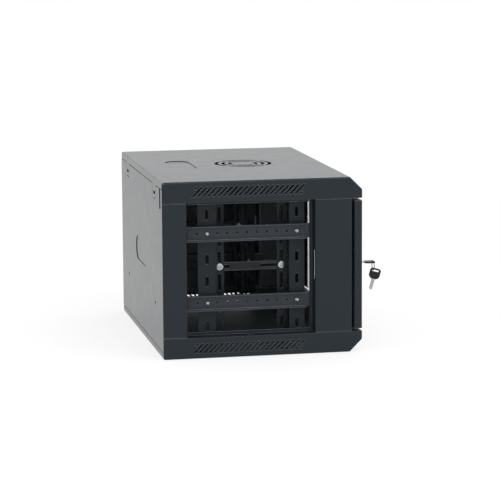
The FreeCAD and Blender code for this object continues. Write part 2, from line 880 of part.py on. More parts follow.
def key_blade():
    """Steel key blade along local X, seated in the bow, with a pointed tip and cuts on both edges."""
    start = bow_length - bow_socket
    half = blade_width / 2
    low = -blade_thick / 2
    tip = key_length - blade_tip
    points = [vec(start, -half, low), vec(tip, -half, low), vec(key_length, -half + blade_tip, low),
              vec(key_length, half - blade_tip, low), vec(tip, half, low), vec(start, half, low)]
    blade = outline(points).extrude(AXIS_Z * blade_thick)
    cuts = []
    first = bow_length + key_out / 2
    pitch = (tip - first) / cut_count
    for i in range(cut_count):
        x = first + (i + 0.5) * pitch
        deep = cut_deep if i % 2 else cut_shallow
        for sign in (-1, 1):
            notch = [vec(x - pitch / 3, sign * (half + TOUCH), 2 * low),
                     vec(x + pitch / 3, sign * (half + TOUCH), 2 * low),
                     vec(x, sign * (half - deep), 2 * low)]
            cuts.append(outline(notch).extrude(AXIS_Z * (2 * blade_thick)))
    return blade.cut(cuts)


def placed(shape, origin, along, normal):
    """Copy of a key piece with local X along one direction and local Z along another."""
    across = normal.cross(along)
    matrix = FreeCAD.Matrix(along.x, across.x, normal.x, origin.x,
                            along.y, across.y, normal.y, origin.y,
                            along.z, across.z, normal.z, origin.z,
                            0, 0, 0, 1)
    return shape.transformGeometry(matrix)


def ring_center():
    """Middle of the key ring, hung on the side of the key head."""
    bar = (bow_width + bow_slot_length) / 4
    return vec(lock_x - bar, -half_d - key_out - bow_length + bow_slot_inset, lock_z - ring_drop)


def key_ring():
    """Ring of eight-sided wire, standing across the key head."""
    corner = ring_wire / 2 / math.cos(math.pi / 8)
    angles = [math.pi / 8 + i * math.pi / 4 for i in range(8)]
    profile = [(ring_radius + corner * math.cos(a), corner * math.sin(a)) for a in angles]
    return turned(ring_center(), AXIS_Y, profile)


def spare_tilt():
    """Angle at which the spare key hangs, its centre of mass under the ring."""
    bow = key_bow().Solids[0]
    blade = key_blade().Solids[0]
    bow_mass = bow.Volume * bow_density
    blade_mass = blade.Volume * blade_density
    middle = (bow.CenterOfMass.x * bow_mass + blade.CenterOfMass.x * blade_mass) / (bow_mass + blade_mass)
    return math.atan2(spare_grip().y, middle - spare_grip().x)


def spare_grip():
    """Point of the spare key, in its own frame, that sits on the ring's wire."""
    return vec(bow_slot_inset - spare_lift, (bow_slot_length - bow_slot_width) / 2, 0)


def spare_place():
    """Origin and directions of the hanging spare key."""
    tilt = spare_tilt()
    along = vec(0, math.sin(tilt), -math.cos(tilt))
    across = AXIS_X.cross(along)
    wire = ring_center() - AXIS_Z * ring_radius
    grip = spare_grip()
    return wire - along * grip.x - across * grip.y, along


def side_panel():
    """Right side panel: shallow tray with rear hooks, lock hole and latch notch."""
    front = opening_front + panel_gap
    rear = opening_rear - panel_gap
    low = cover_lip + panel_gap
    high = lip_top - panel_gap
    inner = half_w - panel_flange
    tray = block(inner, half_w, front, rear, low, high)
    outer_edges = [e for e in tray.Edges if e.BoundBox.XMax > inner + slack]
    tray = tray.makeFillet(panel_bend + sheet, outer_edges)
    hollow = block(inner - slack, half_w - sheet, front + sheet, rear - sheet, low + sheet, high - sheet)
    hollow_edges = [e for e in hollow.Edges if e.BoundBox.XMax > inner + slack]
    tray = tray.cut(hollow.makeFillet(panel_bend, hollow_edges))
    hook_x = half_w - sheet - hook_gap
    for z in hook_heights:
        tray = tray.fuse(block(hook_x - sheet, hook_x, rear - sheet, rear + hook_length, z - hook_height / 2,
                               z + hook_height / 2))
    half = latch_slot_height / 2
    notch = block(inner - slack, half_w - 2 * sheet - panel_bend, front - slack, front + 2 * sheet,
                  latch_z - half, latch_z + half)
    hole = drill(panel_lock_face(), AXIS_X, lock_diameter, through)
    return tray.cut([notch, hole]).removeSplitter()


def panel_lock_face():
    """Centre of the panel lock on the panel's outer face."""
    return vec(half_w, opening_front + panel_lock_inset, latch_z)


def frame_nodes():
    """Covers, rear panel, uprights and what closes or holds them."""
    return {
        "top_cover": top_cover(),
        "bottom_cover": bottom_cover(),
        "rear_panel": rear_part(-rear_join_x, rear_join_x),
        "rear_upright_left": rear_part(-half_w - slack, -rear_join_x),
        "rear_upright_right": rear_part(rear_join_x, half_w + slack),
        "front_upright_left": front_upright(),
        "front_upright_right": hinge_upright(),
        "top_cable_cover": cable_cover(vec(0, entry_y, height), AXIS_Z),
        "bottom_cable_cover": cable_cover(vec(0, entry_y, 0), AXIS_Z * -1),
        "rear_cable_cover": cable_cover(vec(0, half_d, mid_z), AXIS_Y),
        "frame_screws": group(frame_screw_set()),
        "rail_end_screws": group(rail_end_screw_set()),
    }


def rack_nodes():
    """Posts on their depth rails, with braces and fasteners."""
    left_z, right_z = brace_heights()
    screws, nuts = rail_screw_set()
    left_bolts, left_nuts = brace_bolt_set(left_z)
    right_bolts, right_nuts = brace_bolt_set(right_z)
    nodes = {
        "front_post_left": front_post(front_web),
        "front_post_right": mirrored(front_post(front_web)),
        "rear_post_left": rear_post(),
        "rear_post_right": mirrored(rear_post()),
        "brace_left": brace(left_z),
        "brace_right": mirrored(brace(right_z)),
        "rail_screws": group(screws),
        "rail_nuts": group(nuts),
        "brace_bolts": group(left_bolts + [mirrored(bolt) for bolt in right_bolts]),
        "brace_nuts": group(left_nuts + [mirrored(nut) for nut in right_nuts]),
    }
    for name, z in zip(("lower", "upper"), rail_heights):
        nodes[name + "_rail_left"] = depth_rail(z)
        nodes[name + "_rail_right"] = mirrored(depth_rail(z))
    return nodes


def door_nodes():
    """Glass door on its hinge pins."""
    pins, washers = hinge_set()
    nut_face = vec(lock_x, door_back, lock_z)
    return {
        "door_stile_left": left_stile(),
        "door_stile_right": right_stile(),
        "glass_pane": glass_pane(),
        "glazing_tape_left": glazing_tape(),
        "glazing_tape_right": mirrored(glazing_tape()),
        "hinge_pins": group(pins),
        "hinge_washers": group(washers),
        "lock_housing": lock_housing(vec(lock_x, -half_d, lock_z), AXIS_Y, lock_length),
        "lock_nut": hexagon(nut_face, AXIS_Y, AXIS_Z, lock_nut_flats, lock_nut_thick, lock_diameter),
    }


def key_nodes():
    """Turning parts of the door lock, its key, and the spare key on the ring."""
    face = vec(lock_x, -half_d, lock_z)
    key_origin = face - AXIS_Y * (key_out + bow_length)
    spare_origin, spare_along = spare_place()
    return {
        "lock_core": lock_core(face, AXIS_Y, AXIS_X, lock_length, key_depth),
        "lock_cam": lock_cam(face, AXIS_Y, AXIS_Z, lock_length, cam_length),
        "cam_screw": cam_screw(face, AXIS_Y, lock_length),
        "key_bow": placed(key_bow(), key_origin, AXIS_Y, AXIS_Z),
        "key_blade": placed(key_blade(), key_origin, AXIS_Y, AXIS_Z),
        "key_ring": key_ring(),
        "spare_key_bow": placed(key_bow(), spare_origin, spare_along, AXIS_X),
        "spare_key_blade": placed(key_blade(), spare_origin, spare_along, AXIS_X),
    }


def panel_nodes():
    """Right side panel with its cam lock."""
    face = panel_lock_face()
    inward = AXIS_X * -1
    nut_face = face + inward * sheet
    return {
        "side_panel": side_panel(),
        "panel_lock_housing": lock_housing(face, inward, panel_lock_length),
        "panel_lock_nut": hexagon(nut_face, inward, AXIS_Z, lock_nut_flats, lock_nut_thick, lock_diameter),
        "panel_lock_core": lock_core(face, inward, AXIS_Y, panel_lock_length, panel_lock_length),
        "panel_lock_cam": lock_cam(face, inward, AXIS_Z, panel_lock_length, panel_cam_length),
        "panel_cam_screw": cam_screw(face, inward, panel_lock_length),
    }


def main():
    os.makedirs("parts", exist_ok=True)
    nodes = {}
    for made in (frame_nodes(), rack_nodes(), door_nodes(), key_nodes(), panel_nodes()):
        nodes.update(made)
    for name, shape in nodes.items():
        shape.exportStep("parts/" + name + ".step")


main()
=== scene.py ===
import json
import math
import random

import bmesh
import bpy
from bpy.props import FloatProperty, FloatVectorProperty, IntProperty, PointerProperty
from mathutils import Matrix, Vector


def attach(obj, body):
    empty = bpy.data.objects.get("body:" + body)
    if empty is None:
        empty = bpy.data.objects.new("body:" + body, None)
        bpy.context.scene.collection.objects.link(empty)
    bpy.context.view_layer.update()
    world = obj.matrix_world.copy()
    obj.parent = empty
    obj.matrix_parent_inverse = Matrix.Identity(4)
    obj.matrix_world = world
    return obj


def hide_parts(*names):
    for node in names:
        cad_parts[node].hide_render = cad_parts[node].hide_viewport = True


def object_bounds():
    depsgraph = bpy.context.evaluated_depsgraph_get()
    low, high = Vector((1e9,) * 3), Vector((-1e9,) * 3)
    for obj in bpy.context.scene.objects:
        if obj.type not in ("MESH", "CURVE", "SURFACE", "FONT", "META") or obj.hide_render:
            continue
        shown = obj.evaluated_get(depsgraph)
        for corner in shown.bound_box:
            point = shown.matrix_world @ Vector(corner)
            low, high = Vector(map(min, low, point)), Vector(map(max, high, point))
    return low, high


bl_info = {
    "name": "Wall rack cabinet",
    "version": (1, 0, 0),
    "blender": (4, 5, 0),
    "location": "View3D > Sidebar > Rack cabinet",
    "description": "Dresses the packed rack cabinet with coated sheet, plated fasteners, glass and keys",
    "category": "Object",
}

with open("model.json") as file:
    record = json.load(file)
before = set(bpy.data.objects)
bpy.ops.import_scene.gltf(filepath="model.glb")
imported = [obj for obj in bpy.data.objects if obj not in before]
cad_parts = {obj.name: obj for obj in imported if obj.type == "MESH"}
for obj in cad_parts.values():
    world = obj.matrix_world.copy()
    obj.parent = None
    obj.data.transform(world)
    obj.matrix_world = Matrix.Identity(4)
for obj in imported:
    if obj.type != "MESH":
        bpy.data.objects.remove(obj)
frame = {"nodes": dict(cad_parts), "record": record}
cad_box = [list(corner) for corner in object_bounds()]

MM = 0.001
TURN = 2 * math.pi
ALONG_X, ALONG_Y, ALONG_Z = range(3)

COAT_KINDS = {"rail": "rail", "post": "post", "brace": "post", "cable": "cable"}
SHEET_NODES = (
    "top_cover", "bottom_cover", "rear_panel", "rear_upright_left", "rear_upright_right",
    "front_upright_left", "front_upright_right",
    "front_post_left", "front_post_right", "rear_post_left", "rear_post_right",
    "brace_left", "brace_right", "lower_rail_left", "lower_rail_right", "upper_rail_left",
    "upper_rail_right", "top_cable_cover", "bottom_cable_cover", "rear_cable_cover",
    "door_stile_left", "door_stile_right", "side_panel",
)

# Wear and grain of each finish, and the streaks in the painted fold highlight of the coat: widths and depths in
# metres, the rest as shares or multiples.
COAT_PATCH = 0.018
COAT_STREAK = 0.05
COAT_MOTTLE = 0.03
PLATE_CLOUD = 0.004
PLATE_SMEAR = 0.0012
PLATE_GRAIN = 0.0004
PLATE_GRAIN_DEPTH = 0.000006
PLATE_EDGE = 0.0002
PLATE_SHADE = 0.80
GLASS_SMEAR = 0.05
GLASS_WAVE = 0.12
GLASS_WAVE_DEPTH = 0.00002
TAPE_GRAIN, TAPE_GRAIN_DEPTH = 0.0004, 0.00005
NYLON_GRAIN, NYLON_GRAIN_DEPTH = 0.0003, 0.00001
PLASTIC_GRAIN, PLASTIC_GRAIN_DEPTH = 0.0003, 0.000012
SOFT_CLOUD, SOFT_SMEAR, SOFT_LIGHT = 12, 6, 1.35

# Angles between faces: shaded smooth below the first, rounded above the second, joined below the third.
SMOOTH_ANGLE = math.radians(35.0)
SHARP_ANGLE = math.radians(28.0)
FLAT_ANGLE = math.radians(0.6)
WELD_REACH = 1e-6
WIDE_END = 0.97

# Screw heads, as shares of the head's radius or height.
HEAD_DOME, RAIL_HEAD_DOME = 0.34, 0.66
HEAD_RIM, HEAD_CROWN, HEAD_FOOT, HEAD_HEEL = 0.32, 0.94, 0.985, 0.25
CROWN_STEPS, RIM_STEPS = 7, 4
RECESS_WIDE, RECESS_LONG, RECESS_DEEP = 0.34, 1.30, 0.74
RECESS_TAPER = ((-1, 1.12), (1, 0.62))
RECESS_FLARE = 0.1
CAM_SCREW_SEGMENTS = 32

# Threads: rings for each turn, and how the thread meets the head or the faces.
SCREW_RINGS, NUT_RINGS, LOCK_RINGS = 6, 4, 5
THREAD_OVERLAP = 0.0002
THREAD_CREST = 1.35
THREAD_RUN_OUT = 0.2
NUT_SEGMENTS, LOCK_SEGMENTS = 72, 64
NUT_LAND = 0.955
NUT_CHAMFER = math.tan(math.radians(30))
NUT_LEAD, NUT_MARGIN, NUT_GROOVE = 0.0004, 0.0005, 0.25
NUT_SPIN = math.pi / 6

# Lock bodies: shares of the rim's radius and of the flange's height, then lengths.
LOCK_BODY, LOCK_BORE, LOCK_FACE, LOCK_FOOT = 9.0 / 11.0, 6.05 / 11.0, 0.86, 0.985
LOCK_ROUND, LOCK_SIDE = 0.8, 0.9
LOCK_RIM_STEPS = 5
LOCK_FLANGE = 2.0 * MM
LOCK_LEAD = 0.0006
LOCK_NUT_BORE = 9.0 * MM
PIN_ROUND, WASHER_ROUND, CORE_ROUND, CAM_ROUND = 0.4 * MM, 0.35 * MM, 0.25 * MM, 0.3 * MM

# Keys: steps for each turn of the ring, where its wire crosses over, and the grooves of a blade.
RING_STEPS = 96
RING_CROSSING, RING_CROSSING_LENGTH, RING_SPACING = 0.9, 0.2, 1.04
RING_WIRE = ((-1, -0.6), (-0.6, -1), (0.6, -1), (1, -0.6), (1, 0.6), (0.6, 1), (-0.6, 1), (-1, 0.6))
BOW_STEPS = 4
GROOVE_OFFSETS = (-0.10, 0.14)
GROOVE_LONG, GROOVE_WIDE, GROOVE_DEEP = 1.2, 0.20, 0.0008
AXIS_ROUNDS = 200
AXIS_STARTS = ((0.31, 0.52, 0.79), (0.83, -0.44, 0.34))

FLOOR_REACH = 40.0
FLOOR_GAP = 0.3 * MM
FLOOR_CLOUD = 0.6
FLOOR_SHADE = 0.99
FILM_WIDTH = 36.0
VIEW_REACH = 200.0


def colour_value(name, description, default):
    return FloatVectorProperty(name=name, description=description, subtype="COLOR", size=3, min=0, max=1,
                               default=default)


def length_value(name, description, default, least=0.0):
    return FloatProperty(name=name, description=description, unit="LENGTH", min=least, default=default)


def share_value(name, description, default):
    return FloatProperty(name=name, description=description, subtype="FACTOR", min=0, max=1, default=default)


def index_value(name, description, default):
    return FloatProperty(name=name, description=description, min=1, max=3, default=default)


def place_value(name, description, default):
    return FloatVectorProperty(name=name, description=description, subtype="TRANSLATION", unit="LENGTH",
                               size=3, default=default)


class CoatSettings(bpy.types.PropertyGroup):
    """Black powder coat on the sheet steel."""
    colour: colour_value("Coat colour", "Body colour of the powder coat", (0.0080, 0.0132, 0.0190))
    # Painted light: this lighter colour inside the cabinet stands in for light that reaches the inside.
    inner_lit_colour: colour_value("Inner colour", "Thinner, duller coat inside the cabinet", (0.046, 0.056, 0.064))
    # Partly painted light: the rails' lighter coat also makes up for the shade in their recess.
    rail_colour: colour_value("Rail colour", "Coat of the depth rails, a little lighter", (0.029, 0.036, 0.044))
    # Painted shade: the darker coat on posts and braces stands in for the dimmer light they get.
    post_colour: colour_value("Post colour", "Coat of the posts and braces, a little darker",
                              (0.0040, 0.0080, 0.0110))
    # Partly painted highlight: this colour marks wear on sharp edges and also paints the light caught along
    # level fold lines and on bend faces.
    worn_and_highlight_colour: colour_value("Worn edge colour", "Coat rubbed thin along the edges", (0.140, 0.145, 0.150))
    roughness: share_value("Roughness", "Mean roughness of the coat", 0.235)
    inner_roughness: share_value("Inner roughness", "Thinner, rougher coat inside the cabinet", 0.48)
    index: index_value("Index", "Refractive index of the coat", 1.345)
    peel: length_value("Peel size", "Width of one ripple of the orange peel", 0.0009, least=0.0001)
    peel_depth: length_value("Peel depth", "Height of the orange peel", 0.000003)
    edge: length_value("Edge radius", "Rounding that the coat gives to a cut edge", 0.0004)
    skin: length_value("Outer skin", "Depth below the cabinet's sides that keeps the outer coat", 0.0006)
    plate_skin: length_value("Plate skin", "The same depth for the plates behind the cable entries", 0.0018)
    carcass: length_value("Carcass depth", "Depth of the cabinet behind its front fold", 0.398)
    rebate: length_value("Rebate depth", "How far the inner colour stays behind the open side", 0.025)
    # Painted highlight: the lighter line along a level fold stands in for light caught on the bend.
    fold: length_value("Fold radius", "Reach of the lighter line along a level fold", 0.0032)


class MetalSettings(bpy.types.PropertyGroup):
    """Plated fasteners, locks and blades."""
    zinc_colour: colour_value("Zinc colour", "Bright zinc of screws, nuts and cams", (0.52, 0.53, 0.54))
    black_colour: colour_value("Black zinc colour", "Blackened zinc of the hidden fasteners",
                               (0.035, 0.036, 0.038))
    zinc_roughness: share_value("Zinc roughness", "Mean roughness of the zinc", 0.38)
    nickel_colour: colour_value("Nickel colour", "Nickel of locks and key blades", (0.46, 0.455, 0.44))
    ring_colour: colour_value("Ring colour", "Dull steel of the key ring", (0.130, 0.130, 0.122))
    nickel_roughness: share_value("Nickel roughness", "Mean roughness of the nickel", 0.20)


class DoorSettings(bpy.types.PropertyGroup):
    """Glass, tape, nylon and key plastic."""
    glass_colour: colour_value("Glass colour", "Tint of the door glass", (0.90, 0.93, 0.92))
    glass_index: index_value("Glass index", "Refractive index of the glass", 1.5)
    tape_colour: colour_value("Tape colour", "Foam tape that bonds the glass", (0.012, 0.012, 0.012))
    tape_roughness: share_value("Tape roughness", "Roughness of the foam tape", 0.75)
    nylon_colour: colour_value("Nylon colour", "Washers under the hinge pins", (0.018, 0.018, 0.019))
    nylon_roughness: share_value("Nylon roughness", "Roughness of the washers", 0.45)
    plastic_colour: colour_value("Key plastic colour", "Moulded heads of the keys", (0.0120, 0.0122, 0.0112))
    plastic_roughness: share_value("Key plastic roughness", "Roughness of the moulded heads", 0.34)
    sheen: share_value("Plain sheen", "Specular level of tape, nylon and key plastic", 0.16)


class FastenerSettings(bpy.types.PropertyGroup):
    """Sizes of the detail on screws, bolts and nuts."""
    rail_head: length_value("Rail screw head", "Height of a rail screw's head", 0.0031)
    brace_head: length_value("Brace bolt head", "Height of a brace bolt's head", 0.0040)
    frame_head: length_value("Frame screw head", "Height of a frame screw's head", 0.0030)
    rail_shank: length_value("Rail screw thread", "Outside of an M4 thread", 0.0040)
    brace_shank: length_value("Brace bolt thread", "Outside of an M6 thread", 0.0060)
    frame_shank: length_value("Frame screw thread", "Outside of an M5 thread", 0.0050)
    pitch: FloatProperty(name="Thread pitch", description="Rise of one turn of thread over its diameter",
                         default=0.167)
    thread_depth: length_value("Lock thread depth", "Depth of the thread on a lock body", 0.0005)
    segments: IntProperty(name="Round segments", description="Sides of a turned form", min=12, default=40)
    lock_pitch: length_value("Lock thread pitch", "Rise of the thread on a lock body", 0.0012)


class KeySettings(bpy.types.PropertyGroup):
    """Rounding of the keys and the split ring."""
    bow_round: length_value("Bow rounding", "Radius on the moulded edges of a key head", 0.0008)
    blade_round: length_value("Blade rounding", "Radius on the edges of a blade", 0.00015)
    ring_turns: IntProperty(name="Ring turns", description="Turns of the split ring", min=1, default=2)
    ring_axial: length_value("Ring wire thickness", "Thickness of one turn along the axis", 0.00072)
    ring_radial: length_value("Ring wire width", "Width of the wire across the ring", 0.0014)


class StageSettings(bpy.types.PropertyGroup):
    """Camera, floor and light."""
    camera_place: place_value("Camera place", "Where the camera stands", (-4.61109, 0.88838, 0.91117))
    camera_aim: place_value("Camera aim", "Point in the middle of the picture", (-0.0675, -0.0145, 0.1790))
    camera_roll: FloatProperty(name="Camera roll", description="Turn of the picture about the view line",
                               subtype="ANGLE", default=math.radians(-0.3534))
    lens: FloatProperty(name="Lens", description="Focal length for a 36 mm sensor", default=164.77)
    floor_colour: colour_value("Floor colour", "Colour of the floor", (1.0, 1.0, 1.0))
    floor_glow: share_value("Floor whiteness", "How far the seen floor goes to plain white", 0.75)
    floor_roughness: share_value("Floor roughness", "Roughness of the floor", 0.9)
    world_strength: FloatProperty(name="Surroundings", description="Light from the white surroundings",
                                  min=0, default=1.0)
    soft_power: FloatProperty(name="Soft light", description="Power of the large soft light", unit="POWER",
                              min=0, default=40.0)
    soft_place: place_value("Soft light place", "Where the soft light hangs", (-2.4, -0.6, 3.2))
    soft_aim: place_value("Soft light aim", "Point that the soft light faces", (0.0, 0.0, 0.2))
    soft_long: length_value("Soft light length", "Long side of the soft light", 3.0)
    soft_wide: length_value("Soft light width", "Short side of the soft light", 2.0)


class RackCabinetSettings(bpy.types.PropertyGroup):
    """All settings of the cabinet."""
    coat: PointerProperty(type=CoatSettings)
    metal: PointerProperty(type=MetalSettings)
    door: PointerProperty(type=DoorSettings)
    fasteners: PointerProperty(type=FastenerSettings)
    keys: PointerProperty(type=KeySettings)
    stage: PointerProperty(type=StageSettings)


class Finish:
    """A material with its principled shader and a few wiring helpers."""

    def __init__(self, name):
        self.material = bpy.data.materials.new(name)
        self.material.use_nodes = True
        tree = self.material.node_tree
        self.nodes = tree.nodes
        self.links = tree.links
        self.shader = self.nodes["Principled BSDF"]
        self.place = self.add("ShaderNodeTexCoord").outputs["Object"]

    def add(self, kind, **values):
        node = self.nodes.new(kind)
        for key, value in values.items():
            setattr(node, key, value)
        return node

    def join(self, source, target):
        self.links.new(source, target)

    def set(self, **values):
        """Constant inputs of the shader, named with underscores for spaces."""
        for key, value in values.items():
            socket = self.shader.inputs[key.replace("_", " ")]
            socket.default_value = (*value, 1) if hasattr(value, "__len__") and len(value) == 3 else value

    def noise(self, size, detail=2.0, rough=0.5):
        """Noise whose cells are about one size across."""
        texture = self.add("ShaderNodeTexNoise")
        for key, value in (("Scale", 1 / size), ("Detail", detail), ("Roughness", rough)):
            texture.inputs[key].default_value = value
        self.join(self.place, texture.inputs["Vector"])
        return texture.outputs["Fac"]

    def ranged(self, source, low, high, start=0.0, end=1.0):
        """Value that goes from low to high while its source goes from start to end."""
        spread = self.add("ShaderNodeMapRange")
        self.join(source, spread.inputs["Value"])
        for key, value in (("From Min", start), ("From Max", end), ("To Min", low), ("To Max", high)):
            spread.inputs[key].default_value = value
        return spread.outputs["Result"]

    def computed(self, operation, *sources):
        """One value from one or two others."""
        node = self.add("ShaderNodeMath", operation=operation)
        for source, socket in zip(sources, node.inputs):
            self.join(source, socket)
        return node.outputs["Value"]

    def product(self, first, second):
        return self.computed("MULTIPLY", first, second)

    def larger(self, first, second):
        return self.computed("MAXIMUM", first, second)

    def vectors(self, operation, *sources):
        """Outputs of a sum on one or two vectors."""
        node = self.add("ShaderNodeVectorMath", operation=operation)
        for source, socket in zip(sources, node.inputs):
            self.join(source, socket)
        return node.outputs

    def parts(self, vector):
        """Parts of a vector along the three axes."""
        split = self.add("ShaderNodeSeparateXYZ")
        self.join(vector, split.inputs["Vector"])
        return split.outputs

    def mixed(self, factor, first, second):
        """Colour between two constant colours."""
        ramp = self.add("ShaderNodeValToRGB")
        ramp.color_ramp.elements[0].color = (*first, 1)
        ramp.color_ramp.elements[1].color = (*second, 1)
        self.join(factor, ramp.inputs["Fac"])
        return ramp.outputs["Color"]

    def blended(self, factor, first, second):
        """Colour between a wired colour and a constant one."""
        mix = self.add("ShaderNodeMix", data_type="RGBA")
        wired, constant = (socket for socket in mix.inputs if socket.type == "RGBA")
        self.join(factor, mix.inputs["Factor"])
        self.join(first, wired)
        constant.default_value = (*second, 1)
        return next(socket for socket in mix.outputs if socket.type == "RGBA")

    def face_normal(self):
        return self.add("ShaderNodeNewGeometry").outputs["Normal"]

    def rounded_normal(self, radius):
        """Normal that turns smoothly over each edge."""
        bevel = self.add("ShaderNodeBevel", samples=6)
        bevel.inputs["Radius"].default_value = radius
        return bevel.outputs["Normal"]

    def worn_edges(self, normal):
        """Mask that is bright along sharp edges, where a rounded normal leaves the face's own."""
        agree = self.vectors("DOT_PRODUCT", normal, self.face_normal())["Value"]
        return self.ranged(agree, 0.0, 1.0, start=0.995, end=0.80)

    def raised_bend_highlights(self):
        """Mask for a painted highlight on each bend, which faces neither sideways nor straight up."""
        up = self.parts(self.face_normal())["Z"]
        return self.product(self.ranged(up, 0.0, 1.0, start=0.12, end=0.30),
                            self.ranged(up, 1.0, 0.0, start=0.88, end=0.96))

    def rear_fold_highlight(self):
        """Mask for a painted highlight on the fold between the top and the rear."""
        facing = self.parts(self.face_normal())
        return self.product(self.ranged(facing["Y"], 0.0, 1.0, start=0.05, end=0.30),
                            self.ranged(facing["Z"], 0.0, 1.0, start=0.05, end=0.30))

    def level_fold_highlights(self, radius, upper_only=False):
        """Mask for a painted highlight along level fold lines and cuts, where the rounded edge faces up or
        down.
        """
        apart = self.vectors("SUBTRACT", self.rounded_normal(radius), self.face_normal())["Vector"]
        lean = self.parts(apart)["Z"]
        if not upper_only:
            lean = self.computed("ABSOLUTE", lean)
        return self.ranged(lean, 0.0, 1.0, start=0.48, end=0.64)

    def within(self, low, high):
        """Mask that is one inside a box and zero outside it."""
        half = [(b - a) / 2 for a, b in zip(low, high)]
        mapping = self.add("ShaderNodeMapping")
        mapping.inputs["Scale"].default_value = [1 / h for h in half]
        mapping.inputs["Location"].default_value = [-(a + b) / 2 / h for a, b, h in zip(low, high, half)]
        self.join(self.place, mapping.inputs["Vector"])
        reach = self.parts(self.vectors("ABSOLUTE", mapping.outputs["Vector"])["Vector"])
        farthest = self.larger(self.larger(reach["X"], reach["Y"]), reach["Z"])
        return self.ranged(farthest, 1.0, 0.0, start=0.999, end=1.0)

    def bump(self, height, depth, strength, normal=None):
        bump = self.add("ShaderNodeBump")
        bump.inputs["Distance"].default_value = depth
        bump.inputs["Strength"].default_value = strength
        self.join(height, bump.inputs["Height"])
        if normal:
            self.join(normal, bump.inputs["Normal"])
        self.join(bump.outputs["Normal"], self.shader.inputs["Normal"])

    def colour(self, source):
        self.join(source, self.shader.inputs["Base Color"])

    def rough(self, source):
        self.join(source, self.shader.inputs["Roughness"])


def powder_coat(name, settings, colour, inner_lit_colour, skin, channel=False):
    """Black powder coat: smooth outside, rougher inside, with edge wear and a painted highlight along the fold
    lines.
    """
    finish = Finish(name)
    finish.set(IOR=settings.index, Metallic=0.0)
    normal = finish.rounded_normal(settings.edge)
    patches = finish.ranged(finish.noise(COAT_PATCH, 4.0, 0.6), 0.0, 0.35, start=0.38, end=0.68)
    streaks = finish.ranged(finish.noise(COAT_STREAK, 3.0, 0.6), 0.55, 1.0, start=0.35, end=0.60)
    mottle = finish.ranged(finish.noise(COAT_MOTTLE, 5.0, 0.65), 0.94, 1.06, start=0.3, end=0.7)
    # Painted highlight: the coat is lighter along level fold lines, raised bend faces and the top's rear fold,
    # standing in for light caught there.
    bend_highlight = finish.raised_bend_highlights() if channel else finish.rear_fold_highlight()
    fold_highlight = finish.product(finish.larger(finish.level_fold_highlights(settings.fold, channel), bend_highlight), streaks)
    # Edge wear and the painted fold highlight share one lighter colour.
    wear_and_highlight = finish.larger(finish.product(finish.worn_edges(normal), patches), fold_highlight)
    low, high = (Vector(corner) for corner in cad_box)
    low.y = high.y - settings.carcass
    depth = Vector((1, 1, 1)) * skin
    inside = finish.within(low + depth, high - depth)
    # Painted light: behind the rebate the coat takes the lighter inner colour, standing in for light inside the
    # cabinet.
    deep = finish.within(low + depth + Vector((settings.rebate, 0, 0)), high - depth)
    finish.colour(finish.blended(wear_and_highlight, finish.mixed(deep, colour, inner_lit_colour), settings.worn_and_highlight_colour))
    finish.rough(finish.product(finish.ranged(inside, settings.roughness, settings.inner_roughness), mottle))
    finish.bump(finish.noise(settings.peel, 3.0, 0.55), settings.peel_depth, 1.0, normal)
    return finish.material


def plated(name, colour, roughness):
    """Metal with faint clouds, uneven polish and a fine grain."""
    finish = Finish(name)
    finish.set(Metallic=1.0)
    dark = [c * PLATE_SHADE for c in colour]
    clouds = finish.ranged(finish.noise(PLATE_CLOUD, 4.0, 0.6), 0.0, 1.0, start=0.3, end=0.7)
    finish.colour(finish.mixed(clouds, dark, colour))
    smears = finish.noise(PLATE_SMEAR, 4.0, 0.7)
    finish.rough(finish.ranged(smears, roughness * 0.7, roughness * 1.35, start=0.25, end=0.75))
    grain = finish.noise(PLATE_GRAIN, 3.0, 0.6)
    finish.bump(grain, PLATE_GRAIN_DEPTH, 0.6, finish.rounded_normal(PLATE_EDGE))
    return finish.material


def door_glass(name, settings):
    """Clear glass with faint smears and a slight wave."""
    finish = Finish(name)
    finish.set(Base_Color=settings.glass_colour, IOR=settings.glass_index, Transmission_Weight=1.0)
    finish.rough(finish.ranged(finish.noise(GLASS_SMEAR, 5.0, 0.6), 0.0, 0.035, start=0.45, end=0.85))
    finish.bump(finish.noise(GLASS_WAVE, 2.0), GLASS_WAVE_DEPTH, 0.2)
    return finish.material


def soft_plain(name, sheen, colour, roughness, grain, depth):
    """Moulded or foamed material with a fine grain."""
    finish = Finish(name)
    finish.set(Specular_IOR_Level=sheen)
    light = [min(1.0, c * SOFT_LIGHT) for c in colour]
    finish.colour(finish.mixed(finish.noise(grain * SOFT_CLOUD, 3.0), colour, light))
    smears = finish.noise(grain * SOFT_SMEAR, 4.0, 0.6)
    finish.rough(finish.ranged(smears, roughness * 0.85, roughness * 1.15, start=0.3, end=0.7))
    finish.bump(finish.noise(grain, 3.0, 0.6), depth, 1.0, finish.rounded_normal(grain))
    return finish.material


